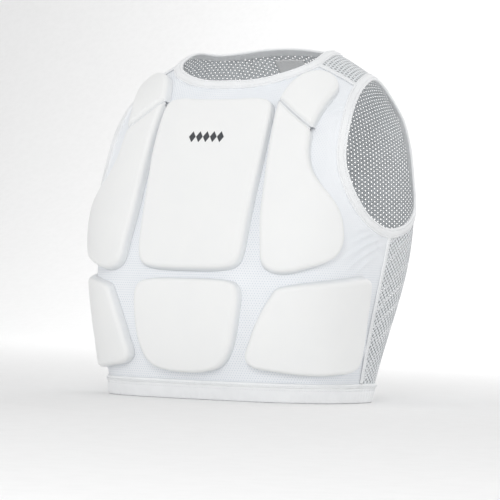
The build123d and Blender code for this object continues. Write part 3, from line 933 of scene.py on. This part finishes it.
def diamondChain(name):
    # five squares turned on their corners, laid on the pad and closed round their rims
    steps = 9
    place = emblem["halfWidth"] / emblem["diamonds"]
    u, v = np.meshgrid(np.linspace(-1, 1, steps), np.linspace(-1, 1, steps), indexing="ij")
    cell = np.stack([(u - v) / 2 * place * emblem["spare"], (u + v) / 2 * emblem["halfHeight"]], -1)
    centres = (np.arange(emblem["diamonds"]) * 2 + 1) * place - emblem["halfWidth"]
    flat = np.concatenate([cell.reshape(-1, 2) + [c, emblem["level"]] for c in centres])
    top = padTopLift("sternum", flat)
    n = steps * steps
    upper = clothPlace(flat[:, 0], flat[:, 1], top + emblem["print"])
    lower = clothPlace(flat[:, 0], flat[:, 1], top - emblem["sunk"])
    index = np.arange(n).reshape(steps, steps)
    rim = np.concatenate([index[:-1, 0], index[-1, :-1], index[:0:-1, -1], index[0, :0:-1]])
    faces = []
    cells, ahead = gridFaces(steps, steps), np.roll(rim, -1)
    for k in range(emblem["diamonds"]):
        a, b = k * n, k * n + n * emblem["diamonds"]
        faces += (cells + a).tolist() + (cells[:, ::-1] + b).tolist()
        faces += np.stack([rim + a, ahead + a, ahead + b, rim + b], -1).tolist()
    return fixFaces(makePiece(name, np.concatenate([upper, lower]), faces, uv=np.concatenate([flat, flat])))


def labelPatch(name):
    # a small sheet inside the neck that curls a little more towards its foot
    rows, cols = 14, 20
    low, high = label["levels"]
    level, girth = np.meshgrid(np.linspace(low, high, rows),
                               np.linspace(-1, 1, cols) * label["halfWidth"], indexing="ij")
    drop = 0.35 * np.cos(girth / label["halfWidth"] * np.pi) * (level - low) / (high - low)
    points = clothPlace(girth, level, label["lift"] + drop)
    return makePiece(name, points, gridFaces(rows, cols).tolist(), uv=np.stack([girth, level], -1))


chestEmblem = diamondChain("chest_emblem_print")
neckLabel = labelPatch("neck_label_cloth")
thicken(neckLabel, label["thickness"])
print("emblem and label made")

# materials
looks = {
    "padColour": (0.90, 0.905, 0.90),
    # grey used for the painted shade at the foot of each pad, and for its random mottling
    "padFootShadeAndMottle": (0.78, 0.80, 0.82),
    "knitColour": (0.905, 0.925, 0.95),
    # grey-blue used for the painted shade in the pin holes, and for the random stretch tone
    "knitHoleShadeAndStretchTone": (0.66, 0.71, 0.77),
    "knitPitch": 0.0029,
    "meshColour": (0.84, 0.865, 0.885),
    "bandColour": (0.915, 0.925, 0.935),
    # the lining is greyed as painted shade, so what shows through the holes looks shaded
    "liningShadedColour": (0.66, 0.69, 0.72),
    "threadColour": (0.88, 0.89, 0.90),
    "elasticColour": (0.80, 0.80, 0.78),
    "labelColour": (0.84, 0.84, 0.84),
    "foamColour": (0.80, 0.76, 0.66),
    "printColour": (0.075, 0.08, 0.09),
    "floorColour": (0.88, 0.88, 0.88),
}


def arrange(group):
    # a place in columns for nodes that have none yet; the links run left to right
    for i, node in enumerate(group):
        node.location = (-1400 + 190 * (i % 8), 300 - 260 * (i // 8))


def emptyMaterial(name):
    # a material with a bare node tree
    material = bpy.data.materials.new(name)
    material.use_nodes = True
    material.node_tree.nodes.clear()
    return material, material.node_tree.nodes, material.node_tree.links


def padSkinMaterial():
    # moulded matte skin: fine grain, soft mottling, and painted shade darkening the foot of the wall
    material, nodes, links = emptyMaterial("pad_skin_matte")
    toneFrame = nodes.new("NodeFrame")
    toneFrame.label = "tone"
    reliefFrame = nodes.new("NodeFrame")
    reliefFrame.label = "grain relief"
    place = nodes.new("ShaderNodeTexCoord")
    place.label = "object place"
    rim = nodes.new("ShaderNodeAttribute")
    rim.label = "distance from the foot"
    rimRamp = nodes.new("ShaderNodeMapRange")
    rimRamp.label = "foot to top"
    mottle = nodes.new("ShaderNodeTexNoise")
    mottle.label = "soft mottling"
    mottleAmount = nodes.new("ShaderNodeMapRange")
    mottleAmount.label = "mottling strength"
    footShadeMix = nodes.new("ShaderNodeMix")
    footShadeMix.label = "painted shade at the foot"
    mottleMix = nodes.new("ShaderNodeMix")
    mottleMix.label = "mottled tone"
    grain = nodes.new("ShaderNodeTexVoronoi")
    grain.label = "leather-like grain"
    fine = nodes.new("ShaderNodeTexNoise")
    fine.label = "fine tooth"
    grainMix = nodes.new("ShaderNodeMath")
    grainMix.label = "grain and tooth"
    bump = nodes.new("ShaderNodeBump")
    bump.label = "grain height"
    wear = nodes.new("ShaderNodeMapRange")
    wear.label = "sheen variation"
    shader = nodes.new("ShaderNodeBsdfPrincipled")
    shader.label = "moulded skin"
    output = nodes.new("ShaderNodeOutputMaterial")
    output.label = "surface"
    for node in (rim, rimRamp, mottle, mottleAmount, footShadeMix, mottleMix):
        node.parent = toneFrame
    for node in (grain, fine, grainMix, bump, wear):
        node.parent = reliefFrame
    arrange([place, rim, rimRamp, mottle, mottleAmount, footShadeMix, mottleMix, shader,
             output, grain, fine, grainMix, bump, wear])
    rim.attribute_name = "inside"
    rimRamp.interpolation_type = "SMOOTHSTEP"
    rimRamp.inputs["From Min"].default_value = 0.0
    rimRamp.inputs["From Max"].default_value = 0.0030
    mottle.inputs["Scale"].default_value = 38.0
    mottle.inputs["Detail"].default_value = 4.0
    mottleAmount.inputs["From Min"].default_value = 0.3
    mottleAmount.inputs["From Max"].default_value = 0.7
    mottleAmount.inputs["To Min"].default_value = 0.0
    mottleAmount.inputs["To Max"].default_value = 0.10
    # painted shade: the foot of each pad wall is greyed where the shadow line falls
    footShadeMix.data_type = "RGBA"
    footShadeMix.inputs[6].default_value = (*looks["padFootShadeAndMottle"], 1)
    footShadeMix.inputs[7].default_value = (*looks["padColour"], 1)
    mottleMix.data_type = "RGBA"
    mottleMix.inputs[7].default_value = (*looks["padFootShadeAndMottle"], 1)
    grain.inputs["Scale"].default_value = 1150.0
    fine.inputs["Scale"].default_value = 2600.0
    fine.inputs["Detail"].default_value = 3.0
    grainMix.operation = "ADD"
    bump.inputs["Strength"].default_value = 0.16
    bump.inputs["Distance"].default_value = 0.0002
    wear.inputs["To Min"].default_value = 0.52
    wear.inputs["To Max"].default_value = 0.66
    shader.inputs["Specular IOR Level"].default_value = 0.35
    shader.inputs["Sheen Weight"].default_value = 0.08
    shader.inputs["Subsurface Weight"].default_value = 0.0
    links.new(rim.outputs["Fac"], rimRamp.inputs["Value"])
    links.new(place.outputs["Object"], mottle.inputs["Vector"])
    links.new(mottle.outputs["Fac"], mottleAmount.inputs["Value"])
    links.new(rimRamp.outputs["Result"], footShadeMix.inputs[0])
    links.new(footShadeMix.outputs[2], mottleMix.inputs[6])
    links.new(mottleAmount.outputs["Result"], mottleMix.inputs[0])
    links.new(mottleMix.outputs[2], shader.inputs["Base Color"])
    links.new(place.outputs["Object"], grain.inputs["Vector"])
    links.new(place.outputs["Object"], fine.inputs["Vector"])
    links.new(grain.outputs["Distance"], grainMix.inputs[0])
    links.new(fine.outputs["Fac"], grainMix.inputs[1])
    links.new(grainMix.outputs["Value"], bump.inputs["Height"])
    links.new(bump.outputs["Normal"], shader.inputs["Normal"])
    links.new(mottle.outputs["Fac"], wear.inputs["Value"])
    links.new(wear.outputs["Result"], shader.inputs["Roughness"])
    links.new(shader.outputs["BSDF"], output.inputs["Surface"])
    return material


def perforatedKnitMaterial():
    # stretch knit: staggered pin holes on the tape, painted darker as shade, knit ribs between them, faint tone
    # changes
    material, nodes, links = emptyMaterial("perforated_knit")
    holeFrame = nodes.new("NodeFrame")
    holeFrame.label = "pin holes"
    knitFrame = nodes.new("NodeFrame")
    knitFrame.label = "knit ribs"
    toneFrame = nodes.new("NodeFrame")
    toneFrame.label = "tone"
    tape = nodes.new("ShaderNodeUVMap")
    tape.label = "tape measure"
    spread = nodes.new("ShaderNodeVectorMath")
    spread.label = "one hole per step"
    stagger = nodes.new("ShaderNodeVectorMath")
    stagger.label = "staggered rows"
    firstCell = nodes.new("ShaderNodeVectorMath")
    firstCell.label = "cell of first rows"
    secondCell = nodes.new("ShaderNodeVectorMath")
    secondCell.label = "cell of second rows"
    firstMiddle = nodes.new("ShaderNodeVectorMath")
    firstMiddle.label = "from first middle"
    secondMiddle = nodes.new("ShaderNodeVectorMath")
    secondMiddle.label = "from second middle"
    firstRound = nodes.new("ShaderNodeVectorMath")
    firstRound.label = "even out first rows"
    secondRound = nodes.new("ShaderNodeVectorMath")
    secondRound.label = "even out second rows"
    firstReach = nodes.new("ShaderNodeVectorMath")
    firstReach.label = "reach in first rows"
    secondReach = nodes.new("ShaderNodeVectorMath")
    secondReach.label = "reach in second rows"
    nearest = nodes.new("ShaderNodeMath")
    nearest.label = "nearest hole"
    hole = nodes.new("ShaderNodeMapRange")
    hole.label = "soft hole edge"
    airy = nodes.new("ShaderNodeAttribute")
    airy.label = "how open the holes are"
    openHole = nodes.new("ShaderNodeMath")
    openHole.label = "closed by stretch"
    ribs = nodes.new("ShaderNodeTexWave")
    ribs.label = "knit wales"
    courses = nodes.new("ShaderNodeTexWave")
    courses.label = "knit courses"
    ribPlace = nodes.new("ShaderNodeMapping")
    ribPlace.label = "turn for courses"
    loops = nodes.new("ShaderNodeMath")
    loops.label = "loops"
    height = nodes.new("ShaderNodeMath")
    height.label = "loops less holes"
    bump = nodes.new("ShaderNodeBump")
    bump.label = "knit height"
    place = nodes.new("ShaderNodeTexCoord")
    place.label = "object place"
    shade = nodes.new("ShaderNodeTexNoise")
    shade.label = "uneven stretch"
    shadeAmount = nodes.new("ShaderNodeMapRange")
    shadeAmount.label = "stretch tone strength"
    paintedHoleShadeMix = nodes.new("ShaderNodeMix")
    paintedHoleShadeMix.label = "painted shade in the holes"
    toneMix = nodes.new("ShaderNodeMix")
    toneMix.label = "stretched tone"
    shader = nodes.new("ShaderNodeBsdfPrincipled")
    shader.label = "knit"
    output = nodes.new("ShaderNodeOutputMaterial")
    output.label = "surface"
    for node in (spread, stagger, firstCell, secondCell, firstMiddle, secondMiddle, firstRound, secondRound,
                 firstReach, secondReach, nearest, hole, airy, openHole):
        node.parent = holeFrame
    for node in (ribs, courses, ribPlace, loops, height, bump):
        node.parent = knitFrame
    for node in (shade, shadeAmount, paintedHoleShadeMix, toneMix):
        node.parent = toneFrame
    arrange([tape, spread, stagger, firstCell, secondCell, firstMiddle, secondMiddle, firstRound, secondRound,
             firstReach, secondReach, nearest, hole, airy, openHole, ribs, courses, ribPlace, loops, height,
             bump, place, shade, shadeAmount, paintedHoleShadeMix, toneMix, shader, output])
    pitch = looks["knitPitch"]
    tape.uv_map = "tape"
    spread.operation = "MULTIPLY"
    spread.inputs[1].default_value = (1 / pitch, 1 / (pitch * math.sqrt(3)), 0)
    stagger.operation = "ADD"
    stagger.inputs[1].default_value = (0.5, 0.5, 0)
    for node in (firstCell, secondCell):
        node.operation = "FRACTION"
    for node in (firstMiddle, secondMiddle):
        node.operation = "SUBTRACT"
        node.inputs[1].default_value = (0.5, 0.5, 0)
    for node in (firstRound, secondRound):
        node.operation = "MULTIPLY"
        node.inputs[1].default_value = (1, math.sqrt(3), 0)
    for node in (firstReach, secondReach):
        node.operation = "LENGTH"
    nearest.operation = "MINIMUM"
    hole.interpolation_type = "SMOOTHSTEP"
    hole.inputs["From Min"].default_value = 0.10
    hole.inputs["From Max"].default_value = 0.24
    airy.attribute_name = "airy"
    openHole.operation = "MULTIPLY"
    hole.inputs["To Min"].default_value = 1.0
    hole.inputs["To Max"].default_value = 0.0
    ribs.inputs["Scale"].default_value = 620.0
    ribs.inputs["Distortion"].default_value = 0.6
    courses.inputs["Scale"].default_value = 620.0
    courses.inputs["Distortion"].default_value = 0.6
    ribPlace.inputs["Rotation"].default_value = (0, 0, math.radians(90))
    loops.operation = "ADD"
    height.operation = "SUBTRACT"
    bump.inputs["Strength"].default_value = 0.2
    bump.inputs["Distance"].default_value = 0.0002
    shade.inputs["Scale"].default_value = 22.0
    shadeAmount.inputs["From Min"].default_value = 0.35
    shadeAmount.inputs["From Max"].default_value = 0.75
    shadeAmount.inputs["To Min"].default_value = 0.0
    shadeAmount.inputs["To Max"].default_value = 0.16
    # painted shade: the pin holes are coloured darker, as shade falls in them
    paintedHoleShadeMix.data_type = "RGBA"
    paintedHoleShadeMix.inputs[6].default_value = (*looks["knitColour"], 1)
    paintedHoleShadeMix.inputs[7].default_value = (*looks["knitHoleShadeAndStretchTone"], 1)
    toneMix.data_type = "RGBA"
    toneMix.inputs[7].default_value = (*looks["knitHoleShadeAndStretchTone"], 1)
    shader.inputs["Roughness"].default_value = 0.72
    shader.inputs["Specular IOR Level"].default_value = 0.3
    shader.inputs["Sheen Weight"].default_value = 0.25
    shader.inputs["Sheen Roughness"].default_value = 0.4
    links.new(tape.outputs["UV"], spread.inputs[0])
    links.new(spread.outputs["Vector"], stagger.inputs[0])
    links.new(spread.outputs["Vector"], firstCell.inputs[0])
    links.new(stagger.outputs["Vector"], secondCell.inputs[0])
    links.new(firstCell.outputs["Vector"], firstMiddle.inputs[0])
    links.new(secondCell.outputs["Vector"], secondMiddle.inputs[0])
    links.new(firstMiddle.outputs["Vector"], firstRound.inputs[0])
    links.new(secondMiddle.outputs["Vector"], secondRound.inputs[0])
    links.new(firstRound.outputs["Vector"], firstReach.inputs[0])
    links.new(secondRound.outputs["Vector"], secondReach.inputs[0])
    links.new(firstReach.outputs["Value"], nearest.inputs[0])
    links.new(secondReach.outputs["Value"], nearest.inputs[1])
    links.new(nearest.outputs["Value"], hole.inputs["Value"])
    links.new(tape.outputs["UV"], ribs.inputs["Vector"])
    links.new(tape.outputs["UV"], ribPlace.inputs["Vector"])
    links.new(ribPlace.outputs["Vector"], courses.inputs["Vector"])
    links.new(ribs.outputs["Fac"], loops.inputs[0])
    links.new(courses.outputs["Fac"], loops.inputs[1])
    links.new(loops.outputs["Value"], height.inputs[0])
    links.new(hole.outputs["Result"], openHole.inputs[0])
    links.new(airy.outputs["Fac"], openHole.inputs[1])
    links.new(openHole.outputs["Value"], height.inputs[1])
    links.new(height.outputs["Value"], bump.inputs["Height"])
    links.new(bump.outputs["Normal"], shader.inputs["Normal"])
    links.new(place.outputs["Object"], shade.inputs["Vector"])
    links.new(shade.outputs["Fac"], shadeAmount.inputs["Value"])
    links.new(openHole.outputs["Value"], paintedHoleShadeMix.inputs[0])
    links.new(paintedHoleShadeMix.outputs[2], toneMix.inputs[6])
    links.new(shadeAmount.outputs["Result"], toneMix.inputs[0])
    links.new(toneMix.outputs[2], shader.inputs["Base Color"])
    links.new(shader.outputs["BSDF"], output.inputs["Surface"])
    return material


def ribbedClothMaterial(name, colour, ribs, weave, roughness, sheen, uneven, holeShadeTone=1.0):
    # plain knit or woven tape: ribs along the piece's own tape measure, a finer cross weave, faint mottling,
    # and painted shade round each hole of the mesh
    material, nodes, links = emptyMaterial(name)
    weaveFrame = nodes.new("NodeFrame")
    weaveFrame.label = "weave relief"
    toneFrame = nodes.new("NodeFrame")
    toneFrame.label = "tone"
    tape = nodes.new("ShaderNodeUVMap")
    tape.label = "tape measure"
    ribLines = nodes.new("ShaderNodeTexWave")
    ribLines.label = "ribs"
    turned = nodes.new("ShaderNodeMapping")
    turned.label = "turn for the cross weave"
    crossLines = nodes.new("ShaderNodeTexWave")
    crossLines.label = "cross weave"
    woven = nodes.new("ShaderNodeMath")
    woven.label = "ribs and cross weave"
    bump = nodes.new("ShaderNodeBump")
    bump.label = "weave height"
    place = nodes.new("ShaderNodeTexCoord")
    place.label = "object place"
    blotch = nodes.new("ShaderNodeTexNoise")
    blotch.label = "faint mottling"
    blotchAmount = nodes.new("ShaderNodeMapRange")
    blotchAmount.label = "mottling strength"
    tone = nodes.new("ShaderNodeMix")
    tone.label = "mottled tone"
    holeEdge = nodes.new("ShaderNodeAttribute")
    holeEdge.label = "nearness to a hole"
    holeShade = nodes.new("ShaderNodeMapRange")
    holeShade.label = "painted shade ramp round the hole"
    paintedHoleShadeMix = nodes.new("ShaderNodeMix")
    paintedHoleShadeMix.label = "painted shade round the hole"
    shader = nodes.new("ShaderNodeBsdfPrincipled")
    shader.label = "cloth"
    output = nodes.new("ShaderNodeOutputMaterial")
    output.label = "surface"
    for node in (ribLines, turned, crossLines, woven, bump):
        node.parent = weaveFrame
    for node in (blotch, blotchAmount, tone, holeEdge, holeShade, paintedHoleShadeMix):
        node.parent = toneFrame
    arrange([tape, ribLines, turned, crossLines, woven, bump, place, blotch, blotchAmount, tone, holeEdge,
             holeShade, paintedHoleShadeMix, shader, output])
    holeEdge.attribute_name = "holeEdge"
    # painted shade: the cloth round each hole of the mesh is darkened where shade falls at the hole edge
    holeShade.interpolation_type = "SMOOTHSTEP"
    holeShade.inputs["From Min"].default_value = 0.35
    paintedHoleShadeMix.data_type = "RGBA"
    paintedHoleShadeMix.inputs[7].default_value = (*[holeShadeTone * c for c in colour], 1)
    tape.uv_map = "tape"
    ribLines.inputs["Scale"].default_value = ribs
    ribLines.inputs["Distortion"].default_value = 0.4
    turned.inputs["Rotation"].default_value = (0, 0, math.radians(90))
    crossLines.inputs["Scale"].default_value = weave
    crossLines.inputs["Distortion"].default_value = 0.4
    woven.operation = "ADD"
    bump.inputs["Strength"].default_value = 0.30
    bump.inputs["Distance"].default_value = 0.0002
    blotch.inputs["Scale"].default_value = 45.0
    blotchAmount.inputs["From Min"].default_value = 0.35
    blotchAmount.inputs["From Max"].default_value = 0.7
    blotchAmount.inputs["To Max"].default_value = uneven
    tone.data_type = "RGBA"
    tone.inputs[6].default_value = (*colour, 1)
    tone.inputs[7].default_value = (*[0.8 * c for c in colour], 1)
    shader.inputs["Roughness"].default_value = roughness
    shader.inputs["Specular IOR Level"].default_value = 0.3
    shader.inputs["Sheen Weight"].default_value = sheen
    shader.inputs["Sheen Roughness"].default_value = 0.4
    links.new(tape.outputs["UV"], ribLines.inputs["Vector"])
    links.new(tape.outputs["UV"], turned.inputs["Vector"])
    links.new(turned.outputs["Vector"], crossLines.inputs["Vector"])
    links.new(ribLines.outputs["Fac"], woven.inputs[0])
    links.new(crossLines.outputs["Fac"], woven.inputs[1])
    links.new(woven.outputs["Value"], bump.inputs["Height"])
    links.new(bump.outputs["Normal"], shader.inputs["Normal"])
    links.new(place.outputs["Object"], blotch.inputs["Vector"])
    links.new(blotch.outputs["Fac"], blotchAmount.inputs["Value"])
    links.new(blotchAmount.outputs["Result"], tone.inputs[0])
    links.new(holeEdge.outputs["Fac"], holeShade.inputs["Value"])
    links.new(holeShade.outputs["Result"], paintedHoleShadeMix.inputs[0])
    links.new(tone.outputs[2], paintedHoleShadeMix.inputs[6])
    links.new(paintedHoleShadeMix.outputs[2], shader.inputs["Base Color"])
    links.new(shader.outputs["BSDF"], output.inputs["Surface"])
    return material


def grainMaterial(name, colour, shade, scale, height, roughness, specular):
    # an even finish broken by grain of one size: thread twist, foam cells or screen print
    material, nodes, links = emptyMaterial(name)
    grainFrame = nodes.new("NodeFrame")
    grainFrame.label = "grain"
    place = nodes.new("ShaderNodeTexCoord")
    place.label = "object place"
    grain = nodes.new("ShaderNodeTexVoronoi")
    grain.label = "grain"
    amount = nodes.new("ShaderNodeMapRange")
    amount.label = "grain strength"
    tone = nodes.new("ShaderNodeMix")
    tone.label = "grain tone"
    bump = nodes.new("ShaderNodeBump")
    bump.label = "grain height"
    shader = nodes.new("ShaderNodeBsdfPrincipled")
    shader.label = "finish"
    output = nodes.new("ShaderNodeOutputMaterial")
    output.label = "surface"
    for node in (grain, amount, tone, bump):
        node.parent = grainFrame
    arrange([place, grain, amount, tone, bump, shader, output])
    grain.inputs["Scale"].default_value = scale
    amount.inputs["From Max"].default_value = 0.8
    tone.data_type = "RGBA"
    tone.inputs[6].default_value = (*shade, 1)
    tone.inputs[7].default_value = (*colour, 1)
    bump.inputs["Strength"].default_value = 0.3
    bump.inputs["Distance"].default_value = height
    shader.inputs["Roughness"].default_value = roughness
    shader.inputs["Specular IOR Level"].default_value = specular
    links.new(place.outputs["Object"], grain.inputs["Vector"])
    links.new(grain.outputs["Distance"], amount.inputs["Value"])
    links.new(amount.outputs["Result"], tone.inputs[0])
    links.new(tone.outputs[2], shader.inputs["Base Color"])
    links.new(grain.outputs["Distance"], bump.inputs["Height"])
    links.new(bump.outputs["Normal"], shader.inputs["Normal"])
    links.new(shader.outputs["BSDF"], output.inputs["Surface"])
    return material


padSkin = padSkinMaterial()
knit = perforatedKnitMaterial()
meshCloth = ribbedClothMaterial("mesh_cloth", looks["meshColour"], 600, 600, 0.75, 0.2, 0.25, 0.3)
bandCloth = ribbedClothMaterial("band_cloth", looks["bandColour"], 200, 420, 0.7, 0.25, 0.2)
liningCloth = ribbedClothMaterial("lining_knit_cloth", looks["liningShadedColour"], 260, 260, 0.8, 0.2, 0.3)
elasticCloth = ribbedClothMaterial("elastic_cloth", looks["elasticColour"], 120, 260, 0.6, 0.1, 0.2)
labelCloth = ribbedClothMaterial("label_satin", looks["labelColour"], 500, 500, 0.45, 0.3, 0.1)
thread = grainMaterial("seam_thread_twist", looks["threadColour"], (0.72, 0.74, 0.76), 1800, 0.0001, 0.6, 0.35)
foam = grainMaterial("pad_foam_cells", looks["foamColour"], (0.62, 0.57, 0.47), 900, 0.0004, 0.9, 0.2)
printInk = grainMaterial("emblem_ink", looks["printColour"], (0.045, 0.048, 0.055), 1400, 0.00008, 0.5, 0.35)
floorPaint = grainMaterial("studio_floor", looks["floorColour"], (0.86, 0.86, 0.86), 60, 0.0, 0.9, 0.1)
print("materials made")


def register(piece, material, slot, *nodes):
    # each piece takes its material, rides the one body, and stands for the nodes named; the slot is not used
    piece.data.materials.clear()
    piece.data.materials.append(material)
    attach(piece, "root")
    if nodes:
        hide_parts(*nodes)


for cover, node in padCovers:
    register(cover, padSkin, "pad_skin", node)
for block, node in padFoams:
    register(block, foam, "pad_foam", node)
register(frontPanel, knit, "front_knit", "front_panel")
register(frontLining, liningCloth, "lining_knit", "front_lining")
register(backPanel, meshCloth, "back_mesh", "back_panel")
register(neckBand, bandCloth, "band_cloth", "neck_band")
register(neckStitches, thread, "seam_thread")
register(hemBand, bandCloth, "band_cloth", "hem_band")
register(hemSeam, bandCloth, "seam_thread", "hem_seam")
register(hemElastic, elasticCloth, "elastic", "hem_elastic")
register(hemStitches, thread, "seam_thread")
register(chestEmblem, printInk, "emblem_print", "chest_emblem")
register(neckLabel, labelCloth, "label_cloth", "neck_label")
for side, word in sideWords.items():
    register(armBands[side], bandCloth, "band_cloth", "armhole_band" + word)
    register(armStitches[side], thread, "seam_thread")
    register(sideSeams[side], bandCloth, "seam_thread", "side_seam" + word)
    register(shoulderSeams[side], bandCloth, "seam_thread", "shoulder_seam" + word)
    for stitches in seamThreads[side]:
        register(stitches, thread, "seam_thread")


def flatArea(piece):
    # area of a single-layer cloth in square metres
    areas = np.empty(len(piece.data.polygons))
    piece.data.polygons.foreach_get("area", areas)
    return float(areas.sum())


print("cloth areas", *[round(flatArea(piece), 4) for piece in (frontPanel, frontLining, backPanel)])

# studio
studio = {
    "azimuth": 29.5,
    "elevation": -1.6,
    "roll": 1.77,
    "distance": 3.0,
    "lens": 200.4,
    "target": (0.0, 0.0027, 0.19),
    "shift": (-0.004, -0.058),
    "world": 0.62,
}


def stageFloor():
    # a floor that curves up into a wall far behind
    side = np.linspace(-14, 14, 29)
    turn = np.linspace(0, np.pi / 2, 16)
    bend = np.stack([3 + 2 * np.sin(turn), 2 - 2 * np.cos(turn)], -1)
    run = np.concatenate([[(-14.0, 0.0)], bend, [(5.0, 8.0)]])
    points = np.stack(np.broadcast_arrays(side[None, :], run[:, :1], run[:, 1:]), -1) / mm
    floor = makePiece("studio_floor", points, gridFaces(len(run), len(side)).tolist())
    floor.data.materials.append(floorPaint)


def areaLight(name, place, size, power, target=studio["target"]):
    # a soft rectangle of light turned to face the target
    data = bpy.data.lights.new(name, "AREA")
    data.shape = "RECTANGLE"
    data.size, data.size_y = size
    data.energy = power
    lamp = bpy.data.objects.new(name, data)
    lamp.location = place
    aim = Vector(target) - Vector(place)
    lamp.rotation_euler = aim.to_track_quat("-Z", "Y").to_euler()
    bpy.context.scene.collection.objects.link(lamp)


stageFloor()
areaLight("key_softbox", (1.1, -2.7, 1.3), (1.0, 1.0), 22)
areaLight("left_fill", (-2.0, -2.0, 0.9), (1.2, 1.2), 7)
areaLight("right_fill", (2.6, -0.9, 0.7), (1.2, 1.2), 5)
areaLight("top_panel", (0.0, 0.2, 2.3), (1.6, 1.6), 5)
areaLight("back_fill", (0.8, 2.2, 1.4), (1.6, 1.6), 5)
areaLight("wall_wash", (0.0, 2.6, 3.2), (3.0, 1.0), 110, target=(0.0, 5.0, 1.0))
world = bpy.data.worlds.new("studio_air")
world.use_nodes = True
world.node_tree.nodes["Background"].inputs["Color"].default_value = (1, 1, 1, 1)
world.node_tree.nodes["Background"].inputs["Strength"].default_value = studio["world"]
bpy.context.scene.world = world
bpy.context.scene.view_settings.view_transform = "Standard"

# the camera looks along forward, then is rolled about it
az, el, roll = [math.radians(studio[k]) for k in ("azimuth", "elevation", "roll")]
forward = Vector((-math.sin(az) * math.cos(el), math.cos(az) * math.cos(el), -math.sin(el)))
right = Vector((math.cos(az), math.sin(az), 0))
upward = right.cross(forward)
tilted = right * math.cos(roll) + upward * math.sin(roll)
upward = upward * math.cos(roll) - right * math.sin(roll)
cameraData = bpy.data.cameras.new("studio_camera")
cameraData.lens = studio["lens"]
cameraData.sensor_width = 36.0
cameraData.shift_x, cameraData.shift_y = studio["shift"]
cameraData.clip_end = 50.0
camera = bpy.data.objects.new("studio_camera", cameraData)
turned = Matrix((tilted, upward, -forward)).transposed().to_4x4()
turned.translation = Vector(studio["target"]) - forward * studio["distance"]
camera.matrix_world = turned
bpy.context.scene.collection.objects.link(camera)
bpy.context.scene.camera = camera
print("studio made")
